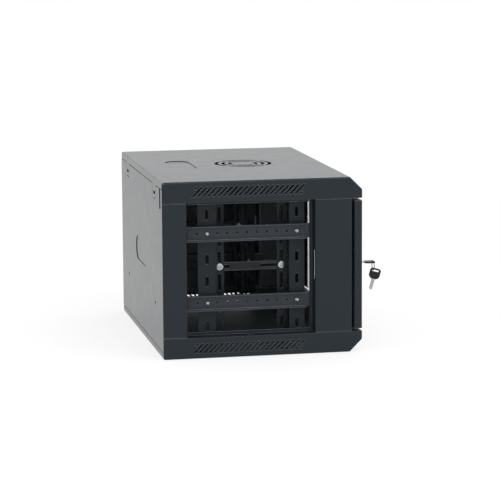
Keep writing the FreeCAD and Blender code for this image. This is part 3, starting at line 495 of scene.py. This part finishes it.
def finishes():
    """Every material of the cabinet, made once."""
    settings = bpy.context.scene.rack_cabinet
    coat, metal, door = settings.coat, settings.metal, settings.door
    made = {
        "coat": ("black_powder_coat", powder_coat, (coat, coat.colour, coat.inner_lit_colour, coat.skin)),
        "cable": ("plate_powder_coat", powder_coat, (coat, coat.colour, coat.inner_lit_colour, coat.plate_skin)),
        "rail": ("rail_powder_coat", powder_coat, (coat, coat.rail_colour, coat.rail_colour, coat.skin, True)),
        "post": ("post_powder_coat", powder_coat, (coat, coat.post_colour, coat.post_colour, coat.skin)),
        "zinc": ("bright_zinc", plated, (metal.zinc_colour, metal.zinc_roughness)),
        "black": ("blackened_zinc", plated, (metal.black_colour, metal.zinc_roughness)),
        "nickel": ("bright_nickel", plated, (metal.nickel_colour, metal.nickel_roughness)),
        "ring": ("dull_steel", plated, (metal.ring_colour, metal.zinc_roughness)),
        "glass": ("clear_door_glass", door_glass, (door,)),
        "tape": ("foam_tape", soft_plain,
                 (door.sheen, door.tape_colour, door.tape_roughness, TAPE_GRAIN, TAPE_GRAIN_DEPTH)),
        "nylon": ("washer_nylon", soft_plain,
                  (door.sheen, door.nylon_colour, door.nylon_roughness, NYLON_GRAIN, NYLON_GRAIN_DEPTH)),
        "plastic": ("moulded_key_plastic", soft_plain,
                    (door.sheen, door.plastic_colour, door.plastic_roughness, PLASTIC_GRAIN,
                     PLASTIC_GRAIN_DEPTH)),
    }
    return {key: bpy.data.materials.get(name) or make(name, *values)
            for key, (name, make, values) in made.items()}


def cad_node(name):
    node = frame["nodes"].get(name)
    if node is None:
        raise RuntimeError("the frame has no node " + name)
    return node


def dress(name, material):
    """Gives a node of the frame its material."""
    node = cad_node(name)
    node.data.materials.clear()
    node.data.materials.append(material)
    return node


def body_of_node(name):
    return next(body for body, names in frame["record"]["behaviour"]["bodies"].items() if name in names)


def piece_from(bm, name, material, nodes):
    """Turns a bmesh into a piece that stands for CAD nodes and rides with their body."""
    bmesh.ops.recalc_face_normals(bm, faces=bm.faces)
    mesh = bpy.data.meshes.new(name)
    bm.to_mesh(mesh)
    bm.free()
    mesh.shade_smooth()
    mesh.set_sharp_from_angle(angle=SMOOTH_ANGLE)
    mesh.materials.append(material)
    piece = bpy.data.objects.new(name, mesh)
    bpy.context.scene.collection.objects.link(piece)
    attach(piece, body_of_node(nodes[0]))
    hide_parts(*nodes)
    return piece


def welded(name):
    """Mesh of a node with its split corners joined."""
    bm = bmesh.new()
    bm.from_mesh(cad_node(name).data)
    bmesh.ops.remove_doubles(bm, verts=bm.verts, dist=WELD_REACH)
    return bm


def solids_of(name):
    """Points of each separate solid of a node."""
    bm = welded(name)
    left = set(bm.verts)
    groups = []
    while left:
        todo = [left.pop()]
        group = []
        while todo:
            vert = todo.pop()
            group.append(vert.co.copy())
            for edge in vert.link_edges:
                other = edge.other_vert(vert)
                if other in left:
                    left.discard(other)
                    todo.append(other)
        groups.append(group)
    bm.free()
    return sorted(groups, key=lambda points: tuple(round(min(p[i] for p in points), 4) for i in range(3)))


class Seat:
    """Place of one turned solid: its wide end, its direction, its length and its widest radius."""

    def __init__(self, points, axis):
        across = [i for i in range(3) if i != axis]
        low = [min(p[i] for p in points) for i in range(3)]
        high = [max(p[i] for p in points) for i in range(3)]
        middle = [(a + b) / 2 for a, b in zip(low, high)]
        radii = [math.hypot(*(p[i] - middle[i] for i in across)) for p in points]
        self.radius = max(radii)
        wide = [p[axis] for p, r in zip(points, radii) if r > WIDE_END * self.radius]
        at_low = sum(wide) / len(wide) < middle[axis]
        self.length = high[axis] - low[axis]
        self.direction = Vector([0, 0, 0])
        self.direction[axis] = 1 if at_low else -1
        self.end = Vector(middle)
        self.end[axis] = low[axis] if at_low else high[axis]

    def matrix(self, spin=0.0):
        """Local +Z runs from the wide end along the solid."""
        turn = Vector((0, 0, 1)).rotation_difference(self.direction).to_matrix().to_4x4()
        return Matrix.Translation(self.end) @ turn @ Matrix.Rotation(spin, 4, "Z")


def shaped_ring(bm, segments, shape):
    """One ring of vertices from a shape that gives the radius and the height at each angle."""
    ring = []
    for i in range(segments):
        angle = TURN * i / segments
        radius, height = shape(angle)
        ring.append(bm.verts.new((radius * math.cos(angle), radius * math.sin(angle), height)))
    return ring


def round_rings(bm, segments, profile):
    """Round rings at (radius, height) points."""
    return [shaped_ring(bm, segments, lambda angle, point=point: point) for point in profile]


def skin(bm, rings, closed=False):
    """Faces between rings, one after another; the ends are capped unless the rings close on themselves."""
    pairs = list(zip(rings, rings[1:]))
    if closed:
        pairs.append((rings[-1], rings[0]))
    for first, second in pairs:
        count = len(first)
        for i in range(count):
            j = (i + 1) % count
            bm.faces.new((first[i], first[j], second[j], second[i]))
    if not closed:
        bm.faces.new(rings[0])
        bm.faces.new(rings[-1])


def quarter(steps):
    """Angles along a quarter turn, without its start."""
    return [math.pi / 2 * i / steps for i in range(1, steps + 1)]


def rounded_head(radius, height, crown):
    """Profile of a domed head from its top to its underside, with a soft rim."""
    rim = height * HEAD_RIM
    points = []
    for i in range(1, CROWN_STEPS + 1):
        t = i / CROWN_STEPS
        points.append((radius * HEAD_CROWN * t, crown * t * t))
    for a in quarter(RIM_STEPS):
        points.append((radius * (HEAD_CROWN + (1 - HEAD_CROWN) * math.sin(a)), crown + rim * (1 - math.cos(a))))
    points.append((radius, height - rim * HEAD_HEEL))
    points.append((radius * HEAD_FOOT, height))
    return points


def thread_valley(angle, height, pitch):
    """Zero on the crest of a thread and one at the bottom of its groove."""
    phase = (height / pitch - angle / TURN) % 1.0
    return abs(2 * phase - 1)


def threaded(bm, radius, depth, start, end, pitch, segments):
    """Threaded rod between two heights with pointed crests."""
    steps = max(2, int(round((end - start) / pitch * SCREW_RINGS)))
    rings = []
    for k in range(steps + 1):
        z = start + (end - start) * k / steps
        fade = max(0.0, min(1.0, (end - z) / pitch, (z - start) / pitch + THREAD_RUN_OUT))

        def crest(angle, z=z, fade=fade):
            rise = min(1.0, THREAD_CREST * (1 - thread_valley(angle, z, pitch)))
            return radius - depth * (1 - fade * rise), z

        rings.append(shaped_ring(bm, segments, crest))
    skin(bm, rings)


def wedge(bm, wide, long, depth):
    """Tapered bar that cuts one arm of a cross recess."""
    corners = []
    for side, taper in RECESS_TAPER:
        x, y, z = wide / 2 * (taper + RECESS_FLARE), long / 2 * taper, side * depth
        for a, b in ((-1, -1), (1, -1), (1, 1), (-1, 1)):
            corners.append(bm.verts.new((a * x, b * y, z)))
    for face in ((0, 1, 2, 3), (4, 5, 6, 7), (0, 1, 5, 4), (1, 2, 6, 5), (2, 3, 7, 6), (3, 0, 4, 7)):
        bm.faces.new([corners[i] for i in face])
    bmesh.ops.recalc_face_normals(bm, faces=bm.faces)


def loose_object(bm, name):
    """Object for a bmesh, with no body and no material yet."""
    mesh = bpy.data.meshes.new(name)
    bm.to_mesh(mesh)
    bm.free()
    thing = bpy.data.objects.new(name, mesh)
    bpy.context.scene.collection.objects.link(thing)
    return thing


def cut_away(target, cutters):
    """Bmesh of a target after its cutters are taken out of it."""
    for cutter in cutters:
        modifier = target.modifiers.new("cut", "BOOLEAN")
        modifier.object = cutter
        modifier.operation = "DIFFERENCE"
        modifier.solver = "EXACT"
    ready = target.evaluated_get(bpy.context.evaluated_depsgraph_get())
    bm = bmesh.new()
    bm.from_mesh(ready.to_mesh())
    ready.to_mesh_clear()
    for thing in [target] + cutters:
        mesh = thing.data
        bpy.data.objects.remove(thing)
        bpy.data.meshes.remove(mesh)
    return bm


def recessed_head(radius, height, segments, dome=HEAD_DOME):
    """Domed head with a cross recess, its top at height zero; dome is its share of the height."""
    bm = bmesh.new()
    skin(bm, round_rings(bm, segments, rounded_head(radius, height, height * dome)))
    bmesh.ops.recalc_face_normals(bm, faces=bm.faces)
    head = loose_object(bm, "head_blank")
    arms = []
    for turn in (0.0, math.pi / 2):
        bm = bmesh.new()
        wedge(bm, radius * RECESS_WIDE, radius * RECESS_LONG, height * RECESS_DEEP)
        bmesh.ops.rotate(bm, verts=bm.verts, cent=(0, 0, 0), matrix=Matrix.Rotation(turn, 3, "Z"))
        arms.append(loose_object(bm, "recess_arm"))
    return cut_away(head, arms)


def copies(form, seats, spins):
    """Copies of one form, one at every seat, each turned by its own angle."""
    mesh = bpy.data.meshes.new("copies")
    form.to_mesh(mesh)
    form.free()
    together = bmesh.new()
    for seat, spin in zip(seats, spins):
        before = len(together.verts)
        together.from_mesh(mesh)
        together.verts.ensure_lookup_table()
        bmesh.ops.transform(together, matrix=seat.matrix(spin), verts=together.verts[before:])
    bpy.data.meshes.remove(mesh)
    return together


def seats_of(node, axis):
    return [Seat(points, axis) for points in solids_of(node)]


def screw_piece(node, axis, head, shank, name, plate="zinc", dome=HEAD_DOME):
    """Cross-recessed screws in place of a node of plain ones, each turned by a seeded angle."""
    sizes = bpy.context.scene.rack_cabinet.fasteners
    seats = seats_of(node, axis)
    form = recessed_head(seats[0].radius, head, sizes.segments, dome)
    pitch = shank * sizes.pitch
    threaded(form, shank / 2, pitch / 2, head - THREAD_OVERLAP, seats[0].length, pitch, sizes.segments // 2)
    chance = random.Random(name)
    together = copies(form, seats, [chance.uniform(0, TURN) for _ in seats])
    return piece_from(together, name, finishes()[plate], [node])


def hex_form(flats, thick, bore, sizes):
    """Hexagon nut with turned chamfers and a threaded bore."""
    half = flats / 2
    land = half * NUT_LAND
    pitch = min(2 * bore * sizes.pitch, sizes.lock_pitch)
    bm = bmesh.new()

    def rim(low):
        def shape(angle):
            radius = half / math.cos((angle % (math.pi / 3)) - math.pi / 6)
            drop = max(0.0, radius - land) * NUT_CHAMFER
            return radius, drop if low else thick - drop
        return shaped_ring(bm, NUT_SEGMENTS, shape)

    rings = round_rings(bm, NUT_SEGMENTS, [(land, 0.0)]) + [rim(True), rim(False)]
    rings += round_rings(bm, NUT_SEGMENTS, [(land, thick), (bore + NUT_LEAD, thick), (bore, thick - NUT_LEAD)])
    steps = max(2, int(round(thick / pitch * NUT_RINGS)))
    for k in range(steps, -1, -1):
        z = NUT_MARGIN + (thick - 2 * NUT_MARGIN) * k / steps

        def groove(angle, z=z):
            return bore + pitch * NUT_GROOVE * thread_valley(angle, z, pitch), z

        rings.append(shaped_ring(bm, NUT_SEGMENTS, groove))
    rings += round_rings(bm, NUT_SEGMENTS, [(bore, NUT_LEAD), (bore + NUT_LEAD, 0.0)])
    skin(bm, rings, closed=True)
    return bm


def nut_piece(node, axis, bore, name, plate="zinc"):
    """Chamfered hexagon nuts in place of a node of plain ones."""
    seats = seats_of(node, axis)
    flats = seats[0].radius * math.sqrt(3)
    form = hex_form(flats, seats[0].length, bore, bpy.context.scene.rack_cabinet.fasteners)
    together = copies(form, seats, [NUT_SPIN] * len(seats))
    return piece_from(together, name, finishes()[plate], [node])


def lock_body_piece(node, axis, name):
    """Turned lock body with a soft rim, an outside thread and a bored middle."""
    sizes = bpy.context.scene.rack_cabinet.fasteners
    seat = seats_of(node, axis)[0]
    rim, length, pitch = seat.radius, seat.length, sizes.lock_pitch
    body = rim * LOCK_BODY
    bore = rim * LOCK_BORE
    profile = [(bore, length), (bore, LOCK_LEAD), (bore + LOCK_LEAD, 0.0), (rim * LOCK_FACE, 0.0)]
    for a in quarter(LOCK_RIM_STEPS):
        outward = LOCK_FACE + (1 - LOCK_FACE) * math.sin(a)
        profile.append((rim * outward, LOCK_FLANGE * LOCK_ROUND * (1 - math.cos(a))))
    profile += [(rim, LOCK_FLANGE * LOCK_SIDE), (rim * LOCK_FOOT, LOCK_FLANGE)]
    bm = bmesh.new()
    rings = round_rings(bm, LOCK_SEGMENTS, profile)
    steps = int(round((length - LOCK_FLANGE) / pitch * LOCK_RINGS))
    for k in range(steps + 1):
        z = LOCK_FLANGE + (length - LOCK_FLANGE) * k / steps
        fade = min(1.0, (length - z) / pitch, (z - LOCK_FLANGE) / pitch)

        def groove(angle, z=z, fade=fade):
            return body - sizes.thread_depth * (1 - fade * (1 - thread_valley(angle, z, pitch))), z

        rings.append(shaped_ring(bm, LOCK_SEGMENTS, groove))
    skin(bm, rings, closed=True)
    bmesh.ops.transform(bm, matrix=seat.matrix(), verts=bm.verts)
    return piece_from(bm, name, finishes()["nickel"], [node])


def softened(node, radius, steps=2):
    """A node's shape with its flats joined up and its edges rounded."""
    bm = welded(node)
    bmesh.ops.dissolve_limit(bm, angle_limit=FLAT_ANGLE, verts=bm.verts, edges=bm.edges)
    sharp = [e for e in bm.edges if len(e.link_faces) == 2 and e.calc_face_angle(0) > SHARP_ANGLE]
    bmesh.ops.bevel(bm, geom=sharp, offset=radius, segments=steps, profile=0.5, affect="EDGES",
                    clamp_overlap=True)
    return bm


def softened_piece(node, radius, name, finish, steps=2):
    return piece_from(softened(node, radius, steps), name, finishes()[finish], [node])


def main_axes(points):
    """Long, wide and thin directions of a flat piece."""
    middle = sum(points, Vector()) / len(points)
    spread = Matrix([[sum((p[i] - middle[i]) * (p[j] - middle[j]) for p in points) for j in range(3)]
                     for i in range(3)])

    def strongest(matrix, start):
        v = Vector(start).normalized()
        for _ in range(AXIS_ROUNDS):
            v = (matrix @ v).normalized()
        return v

    long = strongest(spread, AXIS_STARTS[0])
    size = (spread @ long).length
    rest = Matrix([[spread[i][j] - size * long[i] * long[j] for j in range(3)] for i in range(3)])
    wide = strongest(rest, AXIS_STARTS[1])
    wide = (wide - long * wide.dot(long)).normalized()
    return long, wide, long.cross(wide)


def split_ring_piece(node, name):
    """Two-turn split ring of flat wire in place of the plain ring."""
    keys = bpy.context.scene.rack_cabinet.keys
    bm = welded(node)
    points = [v.co.copy() for v in bm.verts]
    bm.free()
    low = Vector([min(p[i] for p in points) for i in range(3)])
    high = Vector([max(p[i] for p in points) for i in range(3)])
    middle = (low + high) / 2
    first, second, axis = main_axes([p - middle for p in points])
    radius = max((p - middle).length for p in points) - keys.ring_radial / 2
    wire = [(a * keys.ring_axial / 2, b * keys.ring_radial / 2) for a, b in RING_WIRE]
    steps = RING_STEPS * keys.ring_turns
    bm = bmesh.new()
    rings = []
    for k in range(steps + 1):
        turn = k / steps * keys.ring_turns
        outward = first * math.cos(TURN * turn) + second * math.sin(TURN * turn)
        crossed = min(1.0, max(0.0, (turn - RING_CROSSING) / RING_CROSSING_LENGTH))
        lift = (crossed * crossed * (3 - 2 * crossed) - 0.5) * keys.ring_axial * RING_SPACING
        rings.append([bm.verts.new(middle + outward * (radius + r) + axis * (lift + a)) for a, r in wire])
    skin(bm, rings)
    return piece_from(bm, name, finishes()["ring"], [node])


def milled_blade_piece(node, name):
    """Blade with a milled groove along each face."""
    bm = softened(node, bpy.context.scene.rack_cabinet.keys.blade_round, 1)
    points = [v.co.copy() for v in bm.verts]
    long, wide, thin = main_axes(points)

    def span(direction):
        reach = [p.dot(direction) for p in points]
        return min(reach), max(reach)

    (l0, l1), (w0, w1), faces = span(long), span(wide), span(thin)
    blade = loose_object(bm, "blade_blank")
    place = Matrix((long, wide, thin)).transposed().to_4x4()
    scale = Matrix.Diagonal((GROOVE_LONG * (l1 - l0), GROOVE_WIDE * (w1 - w0), GROOVE_DEEP, 1.0))
    grooves = []
    for face, offset in zip(faces, GROOVE_OFFSETS):
        cutter = bmesh.new()
        bmesh.ops.create_cube(cutter, size=1.0)
        middle = long * (l0 + l1) / 2 + wide * ((w0 + w1) / 2 + offset * (w1 - w0)) + thin * face
        bmesh.ops.transform(cutter, matrix=Matrix.Translation(middle) @ place @ scale, verts=cutter.verts)
        grooves.append(loose_object(cutter, "blade_groove"))
    return piece_from(cut_away(blade, grooves), name, finishes()["nickel"], [node])


class RACK_OT_sheets(bpy.types.Operator):
    """Coat the covers, panels, uprights, posts, rails, braces and stiles"""
    bl_idname = "rack.sheets"
    bl_label = "Coated sheet steel"

    def execute(self, context):
        for name in SHEET_NODES:
            kinds = [kind for word, kind in COAT_KINDS.items() if word in name.split("_")]
            dress(name, finishes()[kinds[0] if kinds else "coat"])
        return {"FINISHED"}


class RACK_OT_glazing(bpy.types.Operator):
    """Finish the door glass and its tape"""
    bl_idname = "rack.glazing"
    bl_label = "Door glass"

    def execute(self, context):
        dress("glass_pane", finishes()["glass"])
        for side in ("left", "right"):
            dress("glazing_tape_" + side, finishes()["tape"])
        return {"FINISHED"}


class RACK_OT_hinges(bpy.types.Operator):
    """Make the hinge pins and their washers"""
    bl_idname = "rack.hinges"
    bl_label = "Hinge pins and washers"

    def execute(self, context):
        softened_piece("hinge_pins", PIN_ROUND, "hinge_pin_pair", "zinc")
        softened_piece("hinge_washers", WASHER_ROUND, "hinge_washer_pair", "nylon")
        return {"FINISHED"}


class RACK_OT_screws(bpy.types.Operator):
    """Make the cross-recessed screws of rails, frame and braces"""
    bl_idname = "rack.screws"
    bl_label = "Screws and bolts"

    def execute(self, context):
        sizes = context.scene.rack_cabinet.fasteners
        rail, brace = (sizes.rail_head, sizes.rail_shank), (sizes.brace_head, sizes.brace_shank)
        plain = (sizes.frame_head, sizes.frame_shank)
        screw_piece("rail_screws", ALONG_X, *rail, "rail_screw_set", dome=RAIL_HEAD_DOME)
        screw_piece("brace_bolts", ALONG_X, *brace, "brace_bolt_set")
        screw_piece("frame_screws", ALONG_Z, *plain, "frame_screw_set", "black")
        screw_piece("rail_end_screws", ALONG_Y, *plain, "rail_end_screw_set", "black")
        return {"FINISHED"}


class RACK_OT_nuts(bpy.types.Operator):
    """Make the chamfered nuts of screws, bolts and locks"""
    bl_idname = "rack.nuts"
    bl_label = "Nuts"

    def execute(self, context):
        sizes = context.scene.rack_cabinet.fasteners
        nut_piece("rail_nuts", ALONG_X, sizes.rail_shank / 2, "rail_nut_set", "black")
        nut_piece("brace_nuts", ALONG_X, sizes.brace_shank / 2, "brace_nut_set")
        nut_piece("lock_nut", ALONG_Y, LOCK_NUT_BORE, "door_lock_nut", "black")
        nut_piece("panel_lock_nut", ALONG_X, LOCK_NUT_BORE, "panel_lock_ring_nut", "black")
        return {"FINISHED"}


class RACK_OT_locks(bpy.types.Operator):
    """Make the lock bodies, cores, cams and cam screws"""
    bl_idname = "rack.locks"
    bl_label = "Cam locks"

    def execute(self, context):
        lock_body_piece("lock_housing", ALONG_Y, "door_lock_body")
        lock_body_piece("panel_lock_housing", ALONG_X, "panel_lock_body")
        for node, name in (("lock_core", "door_lock_core"), ("panel_lock_core", "panel_core")):
            softened_piece(node, CORE_ROUND, name, "nickel")
        for node, name in (("lock_cam", "door_lock_cam"), ("panel_lock_cam", "panel_cam")):
            softened_piece(node, CAM_ROUND, name, "zinc")
        self.cam_screw("cam_screw", ALONG_Y, "door_cam_screw")
        self.cam_screw("panel_cam_screw", ALONG_X, "panel_cam_screw_head")
        return {"FINISHED"}

    def cam_screw(self, node, axis, name):
        """Recessed head that faces away from the cam."""
        seat = seats_of(node, axis)[0]
        head = recessed_head(seat.radius, seat.length, CAM_SCREW_SEGMENTS)
        away = Matrix.Translation((0, 0, seat.length)) @ Matrix.Rotation(math.pi, 4, "X")
        bmesh.ops.transform(head, matrix=seat.matrix() @ away, verts=head.verts)
        piece_from(head, name, finishes()["zinc"], [node])


class RACK_OT_keys(bpy.types.Operator):
    """Make both keys and the split ring"""
    bl_idname = "rack.keys"
    bl_label = "Keys and ring"

    def execute(self, context):
        bow_round = context.scene.rack_cabinet.keys.bow_round
        softened_piece("key_bow", bow_round, "key_bow_moulding", "plastic", BOW_STEPS)
        softened_piece("spare_key_bow", bow_round, "spare_bow_moulding", "plastic", BOW_STEPS)
        milled_blade_piece("key_blade", "key_blade_milled")
        milled_blade_piece("spare_key_blade", "spare_blade_milled")
        split_ring_piece("key_ring", "split_ring")
        return {"FINISHED"}


def seen_directly(nodes, links):
    """Value that is one for the camera, for mirrored views and for views through glass."""
    path = nodes.new("ShaderNodeLightPath")
    last = path.outputs["Is Camera Ray"]
    for kind in ("Is Glossy Ray", "Is Transmission Ray"):
        either = nodes.new("ShaderNodeMath")
        either.operation = "MAXIMUM"
        links.new(last, either.inputs[0])
        links.new(path.outputs[kind], either.inputs[1])
        last = either.outputs["Value"]
    return last


class RACK_OT_stage(bpy.types.Operator):
    """Set the floor, the white surroundings, the soft light and the camera"""
    bl_idname = "rack.stage"
    bl_label = "Stage"

    def execute(self, context):
        stage = context.scene.rack_cabinet.stage
        self.floor(stage)
        self.surroundings(context.scene, stage)
        self.soft_light(context.scene, stage)
        self.camera(context.scene, stage)
        context.scene.view_settings.view_transform = "Standard"
        return {"FINISHED"}

    def floor(self, stage):
        bm = bmesh.new()
        bmesh.ops.create_grid(bm, x_segments=8, y_segments=8, size=FLOOR_REACH)
        bmesh.ops.translate(bm, verts=bm.verts, vec=(0, 0, cad_box[0][2] - FLOOR_GAP))
        floor = loose_object(bm, "studio_floor")
        finish = Finish("pale_floor")
        pale = [c * FLOOR_SHADE for c in stage.floor_colour]
        finish.colour(finish.mixed(finish.noise(FLOOR_CLOUD, 3.0), pale, stage.floor_colour))
        finish.set(Roughness=stage.floor_roughness, Specular_IOR_Level=0.0)
        white = finish.add("ShaderNodeEmission")
        seen = finish.ranged(seen_directly(finish.nodes, finish.links), 0.0, stage.floor_glow)
        mix = finish.add("ShaderNodeMixShader")
        finish.join(seen, mix.inputs["Fac"])
        finish.join(finish.shader.outputs["BSDF"], mix.inputs[1])
        finish.join(white.outputs["Emission"], mix.inputs[2])
        finish.join(mix.outputs["Shader"], finish.nodes["Material Output"].inputs["Surface"])
        floor.data.materials.append(finish.material)

    def surroundings(self, scene, stage):
        world = bpy.data.worlds.new("white_room")
        world.use_nodes = True
        scene.world = world
        nodes, links = world.node_tree.nodes, world.node_tree.links
        seen, light = nodes["Background"], nodes.new("ShaderNodeBackground")
        for background, strength in ((seen, 1.0), (light, stage.world_strength)):
            background.inputs["Color"].default_value = (1, 1, 1, 1)
            background.inputs["Strength"].default_value = strength
        mix = nodes.new("ShaderNodeMixShader")
        links.new(seen_directly(nodes, links), mix.inputs["Fac"])
        links.new(light.outputs["Background"], mix.inputs[1])
        links.new(seen.outputs["Background"], mix.inputs[2])
        links.new(mix.outputs["Shader"], nodes["World Output"].inputs["Surface"])

    def soft_light(self, scene, stage):
        lamp = bpy.data.lights.new("soft_box", "AREA")
        lamp.shape = "RECTANGLE"
        lamp.size = stage.soft_long
        lamp.size_y = stage.soft_wide
        lamp.energy = stage.soft_power
        box = bpy.data.objects.new("soft_box", lamp)
        box.location = stage.soft_place
        box.rotation_euler = (Vector(stage.soft_aim) - box.location).to_track_quat("-Z", "Y").to_euler()
        scene.collection.objects.link(box)

    def camera(self, scene, stage):
        lens = bpy.data.cameras.new("photo_camera")
        lens.lens = stage.lens
        lens.sensor_width = FILM_WIDTH
        lens.clip_end = VIEW_REACH
        camera = bpy.data.objects.new("photo_camera", lens)
        camera.location = stage.camera_place
        aim = Vector(stage.camera_aim) - Vector(stage.camera_place)
        turn = aim.to_track_quat("-Z", "Y").to_matrix() @ Matrix.Rotation(stage.camera_roll, 3, "Z")
        camera.rotation_euler = turn.to_euler()
        scene.collection.objects.link(camera)
        scene.camera = camera


class RACK_PT_panel(bpy.types.Panel):
    """Steps and settings of the cabinet"""
    bl_idname = "RACK_PT_panel"
    bl_label = "Rack cabinet"
    bl_space_type = "VIEW_3D"
    bl_region_type = "UI"
    bl_category = "Rack cabinet"

    def draw(self, context):
        settings = context.scene.rack_cabinet
        for step in STEPS:
            self.layout.operator(step.bl_idname)
        for group in (settings.coat, settings.metal, settings.door, settings.fasteners, settings.keys,
                      settings.stage):
            box = self.layout.box()
            for key in group.bl_rna.properties.keys():
                if key not in ("rna_type", "name"):
                    box.prop(group, key)


STEPS = (RACK_OT_stage, RACK_OT_sheets, RACK_OT_glazing, RACK_OT_hinges, RACK_OT_screws, RACK_OT_nuts,
         RACK_OT_locks, RACK_OT_keys)
CLASSES = (CoatSettings, MetalSettings, DoorSettings, FastenerSettings, KeySettings, StageSettings,
           RackCabinetSettings) + STEPS + (RACK_PT_panel,)


def register():
    for item in CLASSES:
        bpy.utils.register_class(item)
    bpy.types.Scene.rack_cabinet = PointerProperty(type=RackCabinetSettings)


def unregister():
    del bpy.types.Scene.rack_cabinet
    for item in reversed(CLASSES):
        bpy.utils.unregister_class(item)


def main():
    register()
    for step in STEPS:
        group, name = step.bl_idname.split(".")
        getattr(getattr(bpy.ops, group), name)()
    bpy.context.view_layer.update()


if __name__ == "__main__":
    main()
